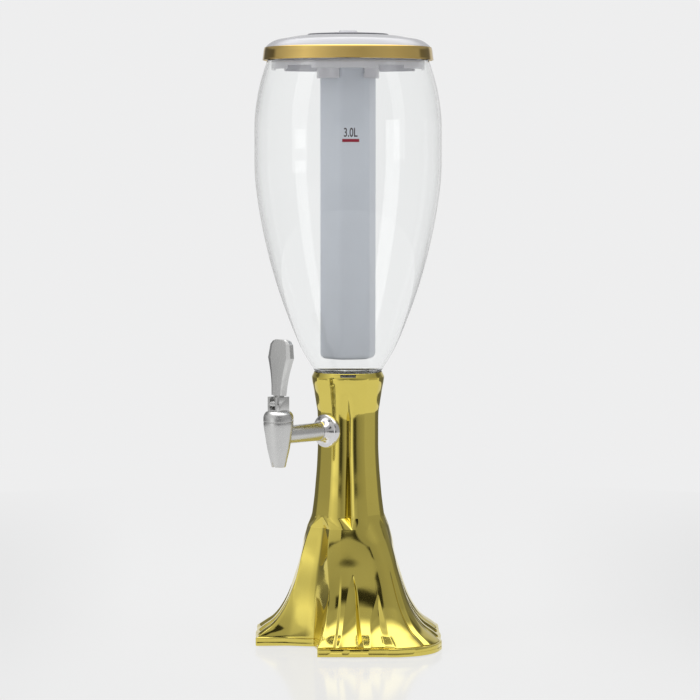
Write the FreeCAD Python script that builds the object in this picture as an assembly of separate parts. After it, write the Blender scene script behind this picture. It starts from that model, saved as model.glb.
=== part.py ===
import FreeCAD, Part
import math
import os

# Table-top drink tower, 3 litres: a clear bulb on a gold-plated flared base, a lid with
# an ice tube hung under it, and a self-closing tap on the front of the base's neck.
# Millimetres, +Z up. The origin is on the table under the middle of the tower, and the
# tap points along -Y. Plan angles are in degrees from the tap's direction towards +X.

os.makedirs("parts", exist_ok=True)

Vector = FreeCAD.Vector
UP = Vector(0, 0, 1)
FORWARD = Vector(0, -1, 0)
SIDEWAYS = Vector(1, 0, 0)

# ---- clearances and walls ----
seat_gap = 0.3            # between pieces of two bodies that rest on each other
pin_fit = 0.05            # radial, pins, screws and stems in their holes
nest_gap = 0.3            # radial, one moulding inside another
base_wall = 2.8           # gold-plated shell
container_wall = 2.8
lid_wall = 2.4
tube_wall = 2.2
well_wall = 2.2
band_wall = 1.0

# ---- base: skirt ----
foot_drop = 1.0           # the rubber feet stand this far below the shell's edge
plinth_height = 7.5       # straight edge round the foot of the skirt
plinth_half = 84.5        # centre to the middle of a side
plinth_rounding = 43.0    # plan radius of the plinth's corners
pleat_ledge = 1.5         # the pleats stand this far back from the plinth's edge
skirt_height = 108.0      # from the shell's edge to where the neck's grooves run out
run_out_height = 10.0     # over which the grooves deepen
notch_apex = 44.6         # centre to the bottom of the glass recess, at the foot
notch_half_angle = 28.0   # plan angle to the recess's outer corners, at the foot
pleat_depth = 7.5         # middle pleat of each side, at the foot
side_pleat_depth = 5.5    # the pleat beside it
edge_pleat_depth = 2.5    # the narrow pleat at the recess's corner
corner_flute_depth = 3.5
corner_flute_angle = 2.75 # half of the flute's plan angle

# ---- base: neck ----
waist_radius = 28.8       # to the ridges beside the grooves
waist_flat = 26.0         # to the flats at front, back and sides
waist_groove = 24.6       # to the bottom of the grooves
waist_rise = 59.0         # from the grooves' foot to the narrow part
waist_height = 36.0       # of the narrow part
arch_rise = 19.0          # from there to the tips of the grooves' pointed arches
collar_rise = 11.0        # from the tips to the ledge inside the rim
rim_radius = 32.6
rim_height = 6.5          # above the ledge
rim_lip = 1.6
rim_window_width = 15.0
rim_window_height = 1.8

# ---- inner well ----
well_flange = 2.0         # lies on the ledge inside the rim
cup_radius = 26.3         # upper cup, outside
cup_depth = 14.6          # from the ledge down to the cup's step
sump_radius = 21.0        # lower part of the well, outside
sump_depth = 31.3         # from the shank's axis down to the well's underside
well_floor = 9.0          # thick enough for the screws
web_thickness = 3.0       # the base's web that the well stands on
front_wall = 2.5          # the base's wall where the shank passes
well_pad_width = 22.0     # flat pad of the well round the shank
well_pad_height = 32.0
well_pad_depth = 7.9
seal_thickness = 1.7
seal_play = 1.3           # radial, between the seal and the container's neck

# ---- container ----
bulb_radius = 86.5
bulb_lower = 192.0        # from the foot to the widest part
bulb_belly = 34.0         # height of the widest part
bulb_upper = 59.0         # from there to the shoulder
container_neck_depth = 15.5
mouth_radius = 73.0
mouth_height = 7.0        # of the straight rim above the shoulder
lock_lugs = 3
lug_plan = 45.0           # plan angle of the first lug
lug_angle = 14.0
lug_reach = 1.6
lug_height = 3.0
lug_drop = 9.0            # from the foot down to the lugs' upper faces
lock_turn = 50.0
mouth_step = 1.0          # the shoulder stands out from the mouth's rim, and rises, by this

# ---- lid ----
band_overhang = 4.7       # band's lower edge beyond the mouth's rim
band_height = 11.9
band_drop = 5.1           # from the mouth's rim down to the band's lower edge
band_taper = 4.3          # the band's upper edge is this much smaller in radius
band_lip = 0.5
dome_height = 11.6        # from the band's top to the edge of the cap's recess
cap_radius = 38.8
cap_recess_depth = 3.4
cap_rise = 3.4            # the cap's middle above the recess's edge
cap_edge = 2.1            # the cap's edge below the button in its middle
cap_button_radius = 7.0
cap_plug_depth = 7.0
cap_seal_height = 1.4
cap_seal_depth = 0.6      # of its groove in the plug
cap_plug_wall = 2.2
plug_ring_depth = 14.5    # from the mouth's rim down
plug_ring_wall = 2.2
plug_notches = 5
plug_notch_plan = 6.6     # plan angle of the first notch
plug_notch_angle = 22.0
plug_notch_height = 3.0
gasket_height = 2.0
claw_count = 3
claw_angle = 72.0
claw_plan = -7.5          # plan angle of the first claw's middle
claw_drop = 22.4          # from the mouth's rim down to the claws' ends
claw_length = 11.8
claw_wall = 2.2

# ---- ice tube ----
tube_apothem = 23.3       # axis to the middle of a face
tube_corner = 7.0         # rounding of the six edges
tube_clearance = 15.3     # from the container's foot up to the tube's closed end
tube_bottom_rounding = 5.5
tube_collar = 21.0        # length of the round top
tube_plan = 26.5          # plan angle of one edge
tube_lug_rise = 4.4       # the lugs above the claws' ends
tube_lug_height = 3.0
tube_lug_reach = 1.5
tube_lug_angle = 12.0

# ---- tap ----
tap_drop = 16.2           # shank's axis below the top of the waist
bonnet_radius = 13.6
nozzle_length = 28.3      # from the shank's axis down to the tip
nozzle_tip_radius = 6.3
nozzle_bore = 4.6
valve_drop = 8.8          # from the shank's axis down to the valve's seat
chamber_radius = 8.9
body_rise = 10.6          # from the shank's axis up to the bonnet
body_neck_radius = 11.3
body_neck_height = 5.6
bonnet_height = 11.6
bonnet_top_radius = 10.4
bonnet_plate = 2.5
bonnet_seal_height = 1.5
shank_radius = 7.5
shank_bore = 4.5
thread_radius = 7.0
thread_end = 6.0          # the thread's end, from the tower's axis
flange_radius = 15.6
flange_depth = 10.0
flange_edge = 1.6
washer_thickness = 1.0
nut_width = 20.0
nut_thickness = 6.0
nut_washer_thickness = 1.6
yoke_width = 14.6
yoke_depth = 15.0
yoke_height = 12.8
yoke_slot = 7.4
yoke_base = 1.5
yoke_bevel = 1.2
lever_fork_slot = 3.4
lever_fork_rise = 7.4     # the fork's slot reaches this far above the pivot
lever_foot_depth = 6.8
lever_shoulder = 1.6      # the paddle starts this far above the yoke
lever_length = 58.0       # from the pivot to the top
lever_width = 28.8        # of the paddle at its widest
lever_depth = 7.0
lever_panel = 0.71        # width of the paddle's flat face, as a share of its own width
lever_bevel = 1.2         # how far the bevel falls back from the flat face
lever_fork_reach = 4.6    # of the fork's slot, in front of the stem
lever_lean = 4.5          # degrees, away from the user
pivot_forward = 5.0       # the pivot lies this far in front of the stem
pivot_rise = 6.4          # and this far above the bonnet
hinge_pin_radius = 1.3
lift_pin_radius = 1.1
stem_radius = 2.4
stem_tongue = 2.8
stem_tongue_depth = 6.5
stem_tongue_rise = 3.0    # above the lift pin's middle
lift_slot_room = 1.4      # in front of the lift pin, as the lever swings
lift_slot_play = 0.25
barb_reach = 1.1
barb_height = 2.0
collar_radius = 7.4
collar_thickness = 1.8
spring_wire = 0.45        # radius of the wire
spring_radius = 4.4
spring_turns = 6
spring_sides = 8          # the wire's section is an octagon
seat_cup_height = 10.0
seat_cup_floor = 2.8
seat_cup_play = 1.2       # radial, between the cup and the chamber
seat_cup_bevel = 1.8

# ---- underside ----
cover_thickness = 2.5
cover_recess = 2.0        # the cover lies this far inside the shell's edge
foot_pad_radius = 8.0
foot_pad_inset = 14.5     # from the plinth's side to a foot's middle
foot_count = 4
foot_recess = 0.6
post_radius = 4.0
post_inset = 35.7         # from a corner to the screw post inside it
front_post_inset = 11.6   # from the glass recess to the front post
screw_radius = 1.45
screw_head_radius = 3.0
screw_head_height = 1.9
screw_head_recess = 0.9
cover_screw_length = 12.0
cover_screw_tip = 1.0     # the screw ends this far before its hole
well_screw_circle = 12.0
well_screw_length = 9.0
well_screw_count = 3

# ---- levels that follow, upwards ----
plinth_top_z = foot_drop + plinth_height
cover_bottom_z = foot_drop + cover_recess
cover_top_z = cover_bottom_z + cover_thickness
run_out_z = foot_drop + skirt_height
groove_foot_z = run_out_z + run_out_height
waist_low_z = groove_foot_z + waist_rise
waist_high_z = waist_low_z + waist_height
groove_top_z = waist_high_z + arch_rise
well_ledge_z = groove_top_z + collar_rise
rim_top_z = well_ledge_z + rim_height
cup_step_z = well_ledge_z - cup_depth
well_top_z = well_ledge_z + well_flange
foot_z = well_top_z + seal_thickness + seat_gap
bulb_low_z = foot_z + bulb_lower
bulb_high_z = bulb_low_z + bulb_belly
shoulder_z = bulb_high_z + bulb_upper
mouth_z = shoulder_z + mouth_height
band_bottom_z = mouth_z - band_drop
band_top_z = band_bottom_z + band_height
dome_edge_z = band_top_z + dome_height
recess_z = dome_edge_z - cap_recess_depth
cap_bottom_z = recess_z + seat_gap
cap_top_z = dome_edge_z + cap_rise
tube_top_z = recess_z - seat_gap
tube_bottom_z = foot_z + tube_clearance
tube_collar_z = tube_top_z - tube_collar
claw_bottom_z = mouth_z - claw_drop
claw_top_z = claw_bottom_z + claw_length
tube_lug_z = claw_bottom_z + tube_lug_rise
plug_ring_bottom_z = mouth_z - plug_ring_depth
tap_z = waist_high_z - tap_drop
well_bottom_z = tap_z - sump_depth
web_bottom_z = well_bottom_z - web_thickness
nozzle_tip_z = tap_z - nozzle_length
valve_seat_z = tap_z - valve_drop
cup_bottom_z = valve_seat_z + seat_gap
collar_z = cup_bottom_z + seat_cup_height
body_top_z = tap_z + body_rise
body_neck_top_z = body_top_z + body_neck_height
bonnet_top_z = body_top_z + bonnet_height
pivot_z = bonnet_top_z + pivot_rise

# ---- radii and places that follow ----
rounding_share = plinth_rounding / plinth_half
corner_reach = plinth_half * ((1 - rounding_share) * math.sqrt(2) + rounding_share)
rim_bore = rim_radius - rim_lip
cup_bore = cup_radius - well_wall
sump_bore = sump_radius - well_wall
neck_cavity = cup_radius + nest_gap
sump_cavity = sump_radius + nest_gap
foot_radius = rim_bore - 2.5 * nest_gap
container_neck_radius = cup_bore - 1.5 * nest_gap
mouth_bore = mouth_radius - container_wall
shoulder_radius = mouth_radius + mouth_step
plug_ring_radius = mouth_bore - nest_gap
band_bottom_radius = mouth_radius + band_overhang
band_top_radius = band_bottom_radius - band_taper
lid_outer_bottom = band_bottom_radius - band_wall
lid_outer_top = band_top_radius - band_wall
recess_radius = cap_radius + 2 * nest_gap
tube_reach = (tube_apothem - tube_corner) / math.cos(math.radians(30)) + tube_corner
tube_collar_radius = tube_reach + 0.2
tube_bore = tube_reach - tube_wall - 0.2
tube_lug_radius = tube_reach + tube_lug_reach
claw_inner_radius = tube_collar_radius + nest_gap
claw_outer_radius = claw_inner_radius + claw_wall
cap_plug_radius = tube_bore - 1.0
tube_lug_plan = tube_plan - 60
pad_front = waist_flat - front_wall - nest_gap
pad_back = pad_front - well_pad_depth
foot_pad_circle = plinth_half - foot_pad_inset
post_circle = corner_reach - post_inset
front_post = notch_apex - front_post_inset
tap_y = -(corner_reach - bonnet_radius)
pivot_y = tap_y - pivot_forward
flange_back_y = -(waist_flat + washer_thickness)
body_top_radius = bonnet_radius - nest_gap
lever_foot_width = yoke_slot - 0.4


# ---------------------------------------------------------------- helpers

def export(shape, name):
    """Writes one sub-part, as a solid or a group of solids."""
    shape = shape.removeSplitter()
    shape.exportStep("parts/" + name + ".step")
    print(name, len(shape.Solids), round(shape.Volume / 1000, 2), shape.isValid())


def ring(outer, inner, low, high, centre=Vector(0, 0, 0), axis=UP):
    """A round tube, or a disc when inner is 0."""
    start = centre + axis * low
    solid = Part.makeCylinder(outer, high - low, start, axis)
    if inner > 0:
        solid = solid.cut(Part.makeCylinder(inner, high - low, start, axis))
    return solid


def turned(points, centre=Vector(0, 0, 0)):
    """Turns a closed (radius, height) outline round the upright line through centre."""
    corners = [Vector(radius, 0, height) for radius, height in points]
    face = Part.Face(Part.makePolygon(corners + [corners[0]]))
    solid = face.revolve(Vector(0, 0, 0), UP, 360)
    solid.translate(centre)
    return solid


def turned_about_shank(points):
    """Turns a closed (radius, y) outline round the shank's line."""
    corners = [Vector(radius, y, 0) for radius, y in points]
    face = Part.Face(Part.makePolygon(corners + [corners[0]]))
    solid = face.revolve(Vector(0, 0, 0), Vector(0, 1, 0), 360)
    solid.translate(Vector(0, 0, tap_z))
    return solid


def sector(outer, inner, low, high, middle, width):
    """Part of a round tube, width degrees wide about a plan angle."""
    start = math.radians(middle - width / 2 - 90)
    direction = Vector(math.cos(start), math.sin(start), 0)
    corners = [
        direction * inner + UP * low,
        direction * outer + UP * low,
        direction * outer + UP * high,
        direction * inner + UP * high,
    ]
    face = Part.Face(Part.makePolygon(corners + [corners[0]]))
    return face.revolve(Vector(0, 0, 0), UP, width)


def plan(angle, radius, height=0.0):
    """The point at a plan angle from the tap's direction."""
    turn = math.radians(angle)
    return Vector(radius * math.sin(turn), -radius * math.cos(turn), height)


def box(x, y, z):
    """A block between two limits on each axis."""
    corner = Vector(x[0], y[0], z[0])
    return Part.makeBox(x[1] - x[0], y[1] - y[0], z[1] - z[0], corner)


def along(curve, height):
    """Reads a curve of (height, value) points, straight between its points."""
    if height <= curve[0][0]:
        return curve[0][1]
    for (low, first), (high, second) in zip(curve, curve[1:]):
        if height <= high:
            return first + (second - first) * (height - low) / (high - low)
    return curve[-1][1]


def inset(points, distance):
    """Moves each side of a counter-clockwise plan outline inwards by a distance."""
    moved = []
    count = len(points)
    for index in range(count):
        before = points[index - 1]
        here = points[index]
        after = points[(index + 1) % count]
        first = (here - before).normalize()
        second = (after - here).normalize()
        first_normal = Vector(-first.y, first.x, 0)
        second_normal = Vector(-second.y, second.x, 0)
        bisector = first_normal + second_normal
        reach = distance * 2 / bisector.dot(bisector)
        moved.append(here + bisector * reach)
    return moved


def loft(sections):
    """A closed solid through plan outlines that have as many corners each."""
    wires = [Part.makePolygon(corners + [corners[0]]) for corners in sections]
    return Part.makeLoft(wires, True, True)


def hexagon(apothem, low, high, rounding, turn=0.0):
    """A six-sided bar with rounded edges."""
    reach = apothem / math.cos(math.radians(30))
    corners = [plan(turn + 60 * side, reach, low) for side in range(6)]
    bar = Part.Face(Part.makePolygon(corners + [corners[0]])).extrude(UP * (high - low))
    if rounding <= 0:
        return bar
    upright = [edge for edge in bar.Edges if abs(edge.tangentAt(0).z) > 0.9]
    return bar.makeFillet(rounding, upright)


# ---------------------------------------------------------------- base shell

# Curves of (height, value). The skirt's side is measured at the middle of a side and
# the neck's at the ridges beside its grooves.
skirt_rise = run_out_z - plinth_top_z
neck_rise = waist_low_z - groove_foot_z


def skirt_z(share):
    return plinth_top_z + skirt_rise * share


def neck_z(share):
    return groove_foot_z + neck_rise * share


def arch_z(share):
    return waist_high_z + arch_rise * share


side_curve = [
    (foot_drop, plinth_half),
    (plinth_top_z, plinth_half),
    (skirt_z(0.01), plinth_half - pleat_ledge),
    (skirt_z(0.08), plinth_half * 0.915),
    (skirt_z(0.18), plinth_half * 0.815),
    (skirt_z(0.31), plinth_half * 0.700),
    (skirt_z(0.42), plinth_half * 0.635),
    (skirt_z(0.53), plinth_half * 0.580),
    (skirt_z(0.75), plinth_half * 0.505),
    (run_out_z, waist_radius * 1.30),
    (groove_foot_z, waist_radius * 1.155),
    (neck_z(0.19), waist_radius * 1.105),
    (neck_z(0.53), waist_radius * 1.03),
    (waist_low_z, waist_radius),
    (waist_high_z, waist_radius),
    (arch_z(0.47), rim_radius * 0.92),
    (groove_top_z, rim_radius * 0.96),
    (well_ledge_z, rim_radius - 0.2),
]

# How far the plan is from round (0) to a rounded square (1).
square_curve = [
    (plinth_top_z, 1.0),
    (skirt_z(0.22), 1.15),
    (skirt_z(0.5), 1.35),
    (skirt_z(0.67), 1.15),
    (skirt_z(0.87), 0.6),
    (run_out_z, 0.2),
    (groove_foot_z, 0.0),
]

flat_curve = [
    (groove_foot_z, waist_flat * 1.19),
    (neck_z(0.19), waist_flat * 1.11),
    (neck_z(0.53), waist_flat * 1.03),
    (waist_low_z, waist_flat),
    (waist_high_z, waist_flat),
    (arch_z(0.47), rim_radius * 0.859),
    (groove_top_z, rim_radius * 0.923),
    (well_ledge_z, rim_radius * 0.972),
]

groove_curve = [
    (groove_foot_z, waist_groove * 1.122),
    (neck_z(0.19), waist_groove * 1.081),
    (neck_z(0.53), waist_groove * 1.024),
    (waist_low_z, waist_groove),
    (waist_high_z - 8, waist_groove),
    (arch_z(0.53), rim_radius * 0.862),
    (groove_top_z, rim_radius * 0.957),
    (well_ledge_z, rim_radius - 0.2),
]

# Half of the plan angle between the two edges of a groove's arch.
arch_curve = [
    (groove_foot_z, 17.8),
    (waist_high_z, 17.8),
    (arch_z(0.53), 14.0),
    (arch_z(0.79), 9.5),
    (groove_top_z, 3.0),
    (well_ledge_z, 1.5),
]

apex_curve = [
    (foot_drop, notch_apex),
    (skirt_z(0.48), notch_apex * 0.92),
    (skirt_z(0.9), notch_apex * 0.755),
    (run_out_z, notch_apex * 0.72),
    (groove_foot_z, notch_apex * 0.684),
]

notch_curve = [
    (foot_drop, notch_half_angle),
    (skirt_z(0.41), notch_half_angle - 1),
    (skirt_z(0.73), notch_half_angle - 6),
    (run_out_z, notch_half_angle - 9),
    (groove_foot_z, notch_half_angle - 11),
]

fold_share_curve = [(foot_drop, 0.42), (skirt_z(0.5), 0.82)]
fold_bulge_curve = [(foot_drop, 3.5), (skirt_z(0.5), 0.5)]

# The pleats of a side: plan angles of their edges and bottoms, and their depths.
pleat_tops = skirt_z(0.6)
edge_pleat_bottom = [(plinth_top_z, 33.8), (pleat_tops, 35.0)]
edge_pleat_right = [(plinth_top_z, 35.8), (pleat_tops, 37.0)]
pleat_left = [(plinth_top_z, 37.4), (skirt_z(0.41), 43.7), (pleat_tops, 49.6)]
pleat_bottom = [(plinth_top_z, 51.7), (skirt_z(0.41), 53.0), (pleat_tops, 50.6)]
pleat_right = [(plinth_top_z, 54.8), (skirt_z(0.41), 54.6), (pleat_tops, 51.6)]
side_pleat_left = [(plinth_top_z, 58.1), (skirt_z(0.22), 63.8), (skirt_z(0.42), 71.6)]
side_pleat_bottom = [(plinth_top_z, 67.5), (skirt_z(0.22), 71.0), (skirt_z(0.42), 72.5)]
side_pleat_right = [(plinth_top_z, 70.2), (skirt_z(0.22), 73.0), (skirt_z(0.42), 73.4)]
depth_share = [(plinth_top_z, 1.0), (skirt_z(0.28), 0.7), (skirt_z(0.5), 0.3), (pleat_tops, 0.0)]
side_depth_share = [(plinth_top_z, 1.0), (skirt_z(0.28), 0.5), (skirt_z(0.42), 0.0)]
flute_share = [(plinth_top_z, 1.0), (skirt_z(0.5), 0.5), (skirt_z(0.7), 0.0)]


def square_shape(off_middle):
    """Rounded square's radius, over that at the middle of its side."""
    turn = math.radians(off_middle)
    straight = 1 - rounding_share
    if math.tan(turn) <= straight:
        return 1 / math.cos(turn)
    reach = straight * (math.cos(turn) + math.sin(turn))
    return reach + math.sqrt(rounding_share ** 2 - 2 * straight ** 2 + reach ** 2)


def outline(angle, height):
    """The skirt's radius without its pleats."""
    off_middle = abs(angle % 90 - 45)
    squareness = along(square_curve, height)
    side = along(side_curve, height)
    return side * (1 + squareness * (square_shape(off_middle) - 1))


def side_points(height):
    """(angle, radius) along a side of the skirt, from a recess corner to the next
    corner's flute."""
    def on(angle, depth=0.0):
        return (angle, outline(angle, height) - depth)

    depth = along(depth_share, height)
    side_depth = along(side_depth_share, height)
    pleated = height > plinth_top_z
    flute = corner_flute_depth * along(flute_share, height) * pleated
    return [
        on(along(notch_curve, height)),
        on(along(edge_pleat_bottom, height), edge_pleat_depth * depth * pleated),
        on(along(edge_pleat_right, height)),
        on(along(pleat_left, height)),
        on(along(pleat_bottom, height), pleat_depth * depth * pleated),
        on(along(pleat_right, height)),
        on(along(side_pleat_left, height)),
        on(along(side_pleat_bottom, height), side_pleat_depth * side_depth * pleated),
        on(along(side_pleat_right, height)),
        on(79.0),
        on(83.5),
        on(90 - corner_flute_angle),
        on(90.0, flute),
    ]


def neck_side_points(height):
    """The same points on the neck: a flat, an arched groove and the next flat."""
    ridge = along(side_curve, height)
    flat = along(flat_curve, height)
    deep = along(groove_curve, height)
    arch = along(arch_curve, height)
    edge = math.degrees(math.acos(min(flat / ridge, 0.9999)))
    middle = 45.0

    def on_flat(angle):
        off = min(angle, 90 - angle)
        return (angle, flat / math.cos(math.radians(off)))

    bottom = plan(middle, deep)
    lip = plan(middle - arch, ridge)
    halfway = (bottom + lip) * 0.5
    half_angle = math.degrees(math.atan2(halfway.x, -halfway.y))
    half_radius = math.hypot(halfway.x, halfway.y)
    return [
        on_flat(edge * 0.7),
        (edge, ridge),
        (middle - arch, ridge),
        (half_angle, half_radius),
        (middle, deep),
        (90 - half_angle, half_radius),
        (middle + arch, ridge),
        (90 - edge, ridge),
        on_flat(90 - edge * 0.8),
        on_flat(90 - edge * 0.6),
        on_flat(90 - edge * 0.4),
        on_flat(90 - edge * 0.2),
        on_flat(90.0),
    ]


def notch_points(height, corner):
    """The recess from its bottom to its fold, with its corner given as (angle, radius)."""
    apex = plan(0, along(apex_curve, height))
    lip = plan(*corner)
    wall = lip - apex
    normal = Vector(-wall.y, wall.x, 0).normalize()
    fold = apex + wall * along(fold_share_curve, height)
    fold = fold + normal * along(fold_bulge_curve, height)
    return [apex, fold]


def section(height):
    """The shell's outer plan at a height, counter-clockwise from the tap's direction."""
    if height < groove_foot_z:
        side = side_points(height)
        start = notch_points(height, side[0])
    else:
        side = neck_side_points(height)
        flat = along(flat_curve, height)
        if height == groove_foot_z:
            flat = along(apex_curve, height)
        start = [plan(0, flat), plan(side[0][0] / 2, flat / math.cos(math.radians(side[0][0] / 2)))]
    front = start + [plan(*point) for point in side]
    back_side = [(180 - angle, radius) for angle, radius in reversed(side[:-1])]
    if height < groove_foot_z:
        flute = side[-1][1]
        lip = side[-2]
        beyond = (152.6 + 180 - corner_flute_angle) / 2
        back_side.append((beyond, outline(beyond, height)))
        back_side.append((180 - corner_flute_angle, lip[1]))
        back_side.append((180.0, flute))
    else:
        flat = along(flat_curve, height)
        edge = 180 - back_side[-1][0]
        for share in (0.67, 0.33, 0.0):
            angle = 180 - edge * share
            back_side.append((angle, flat / math.cos(math.radians(edge * share))))
    right = front + [plan(*point) for point in back_side]
    left = [Vector(-point.x, point.y, 0) for point in reversed(right[1:-1])]
    return [Vector(point.x, point.y, height) for point in right + left]


def plinth_section(height, wall):
    """The plinth's plan inset by a wall."""
    flat = [Vector(point.x, point.y, 0) for point in section(plinth_top_z)]
    return [Vector(point.x, point.y, height) for point in inset(flat, wall)]


def cavity_section(height, outline_height):
    """The skirt's hollow: the section inset by the wall, straight between the recess's
    corners, the bottoms of the large pleats and the flutes."""
    points = section(outline_height)
    followed = (0, 1, 2, 6, 9, 11, 14, 17, 19, 22, 26, 27, 29)
    right = [points[place] for place in followed]
    left = [Vector(-point.x, point.y, 0) for point in reversed(right[1:-1])]
    flat = [Vector(point.x, point.y, 0) for point in right + left]
    return [Vector(point.x, point.y, height) for point in inset(flat, base_wall)]


def round_section(radius, height, like):
    """A round outline with the same corners as another, at their plan angles."""
    turned_points = []
    for point in like:
        reach = math.hypot(point.x, point.y)
        turned_points.append(Vector(point.x * radius / reach, point.y * radius / reach, height))
    return turned_points


def make_base_shell():
    step_z = cover_top_z + seat_gap
    heights = [foot_drop, plinth_top_z]
    heights += [skirt_z(share) for share in (0.01, 0.08, 0.18, 0.31, 0.42, 0.53, 0.75)]
    heights += [run_out_z, groove_foot_z, neck_z(0.19), neck_z(0.53), waist_low_z, waist_high_z - 8]
    heights += [waist_high_z, arch_z(0.53), arch_z(0.79), groove_top_z, well_ledge_z]
    body = loft([section(height) for height in heights])
    lip = rim_lip / 2
    rim = turned([
        (cup_bore, well_ledge_z - lip),
        (rim_radius - lip, well_ledge_z - lip),
        (rim_radius, well_ledge_z + lip),
        (rim_radius, rim_top_z - lip),
        (rim_radius - lip, rim_top_z),
        (cup_bore, rim_top_z),
    ])
    outside = body
    body = body.fuse(rim)
    # Hollow skirt, then the straight bores of the neck on each side of the web.
    body = body.cut(loft([plinth_section(0.0, base_wall), plinth_section(step_z, base_wall)]))
    inner_heights = [skirt_z(share) for share in (0.01, 0.08, 0.31, 0.53, 0.75)]
    hollow = [cavity_section(cover_top_z, inner_heights[0])]
    hollow += [cavity_section(height, height) for height in inner_heights]
    hollow.append(cavity_section(run_out_z, run_out_z))
    hollow.append(round_section(sump_cavity, groove_foot_z - base_wall, hollow[-1]))
    body = body.cut(loft(hollow))
    body = body.cut(ring(sump_cavity, 0, groove_foot_z - base_wall, web_bottom_z))
    body = body.cut(ring(sump_cavity, 0, well_bottom_z, well_ledge_z))
    body = body.cut(ring(neck_cavity, 0, cup_step_z - nest_gap, rim_top_z))
    body = body.cut(ring(rim_bore, 0, well_ledge_z, rim_top_z))
    # Channel for the well's pad, open upwards, and the hole for the tap's shank.
    pad_low = tap_z - well_pad_height / 2
    body = body.cut(box(
        (-well_pad_width / 2 - nest_gap, well_pad_width / 2 + nest_gap),
        (-pad_front - nest_gap, 0),
        (pad_low - nest_gap, well_ledge_z),
    ))
    shank_hole = thread_radius + nest_gap
    body = body.cut(ring(shank_hole, 0, pad_front, rim_radius, Vector(0, 0, tap_z), FORWARD))
    # Small window under the rim beside the front groove.
    window_low = rim_top_z - 1.6 * rim_lip - rim_window_height
    window = box(
        (rim_bore - rim_lip, rim_radius + rim_lip),
        (-rim_window_width / 2, rim_window_width / 2),
        (window_low, window_low + rim_window_height),
    )
    window.rotate(Vector(0, 0, 0), UP, -45)
    body = body.cut(window)
    # Web holes and posts for the two sets of screws.
    hole = screw_radius + pin_fit
    for spot in well_screw_spots():
        body = body.cut(ring(hole, 0, web_bottom_z, well_bottom_z, spot))
    for spot in cover_screw_spots():
        post = ring(post_radius, 0, cover_top_z, run_out_z, spot).common(outside)
        post = post.cut(ring(hole, 0, cover_top_z, cover_top_z + cover_screw_length, spot))
        body = body.fuse(post)
    return body


def well_screw_spots():
    step = 360 / well_screw_count
    return [plan(step * (index + 0.5), well_screw_circle) for index in range(well_screw_count)]


# ---------------------------------------------------------------- inner well and seal

def make_inner_well():
    well = turned([
        (0, well_bottom_z),
        (sump_radius, well_bottom_z),
        (sump_radius, cup_step_z),
        (cup_radius, cup_step_z),
        (cup_radius, well_ledge_z),
        (rim_bore - nest_gap, well_ledge_z),
        (rim_bore - nest_gap, well_top_z),
        (cup_bore, well_top_z),
        (cup_bore, cup_step_z + well_wall),
        (sump_bore, cup_step_z + well_wall),
        (sump_bore, well_bottom_z + well_floor),
        (0, well_bottom_z + well_floor),
    ])
    pad_z = (tap_z - well_pad_height / 2, tap_z + well_pad_height / 2)
    pad = box((-well_pad_width / 2, well_pad_width / 2), (-pad_front, -pad_back), pad_z)
    well = well.fuse(pad)
    hole = thread_radius + nest_gap
    well = well.cut(ring(hole, 0, 0, pad_front, Vector(0, 0, tap_z), FORWARD))
    # Bayonet tracks: a level run and a way in from above.
    low = foot_z - lug_drop - lug_height - seat_gap
    high = foot_z - lug_drop + seat_gap
    track_radius = container_neck_radius + lug_reach + seat_gap
    lug_room = lug_angle + 4
    for index in range(lock_lugs):
        middle = lug_plan + 360 / lock_lugs * index
        run_middle = middle + lock_turn / 2
        run = sector(track_radius, sump_bore, low, high, run_middle, lug_room + lock_turn)
        way_in = sector(track_radius, sump_bore, low, well_top_z, middle + lock_turn, lug_room)
        well = well.cut(run).cut(way_in)
    for spot in well_screw_spots():
        top = web_bottom_z + well_screw_length + seat_gap
        well = well.cut(ring(screw_radius + pin_fit, 0, well_bottom_z, top, spot))
    return well


def make_screw(spot, head_top, length):
    """A round-headed screw that points up, its head under a face at head_top."""
    head = screw_head_radius
    head_low = head_top - screw_head_height
    shank = ring(screw_radius, 0, head_top, head_top + length, spot)
    cap = turned([
        (0, head_low),
        (head * 0.6, head_low),
        (head, head_low + screw_head_height * 0.5),
        (head, head_top),
        (0, head_top),
    ], spot)
    screw = shank.fuse(cap)
    slot = box(
        (spot.x - head * 0.6, spot.x + head * 0.6),
        (spot.y - head * 0.12, spot.y + head * 0.12),
        (head_low, head_top - screw_head_height * 0.5),
    )
    cross = slot.copy()
    cross.rotate(spot, UP, 90)
    return screw.cut(slot).cut(cross)


def make_well_screws():
    return Part.makeCompound([
        make_screw(spot, web_bottom_z, well_screw_length) for spot in well_screw_spots()
    ])


def make_container_seal():
    outer = foot_radius - 2 * nest_gap
    inner = container_neck_radius + seal_play
    return ring(outer, inner, well_top_z, well_top_z + seal_thickness)


# ---------------------------------------------------------------- container

# The bulb's outline: shares of its greatest radius at shares of the rise below and
# above its widest part.
bulb_below = [(0.480, 0.110), (0.596, 0.227), (0.734, 0.398), (0.846, 0.570), (0.931, 0.742)]
bulb_below += [(0.978, 0.870), (0.998, 0.960)]
bulb_above = [(0.996, 0.12), (0.970, 0.43), (0.918, 0.75)]


def bulb_points(inwards):
    """The bulb's (radius, height) points from its foot up to the shoulder."""
    shape = [(foot_radius, foot_z + container_wall)]
    shape += [(bulb_radius * size, foot_z + bulb_lower * share) for size, share in bulb_below]
    shape.append((bulb_radius, (bulb_low_z + bulb_high_z) / 2))
    shape += [(bulb_radius * size, bulb_high_z + bulb_upper * share) for size, share in bulb_above]
    shape.append((shoulder_radius, shoulder_z))
    return [Vector(radius - inwards, 0, height) for radius, height in shape]


def bulb_curve(inwards):
    curve = Part.BSplineCurve()
    curve.interpolate(bulb_points(inwards))
    return curve


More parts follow.
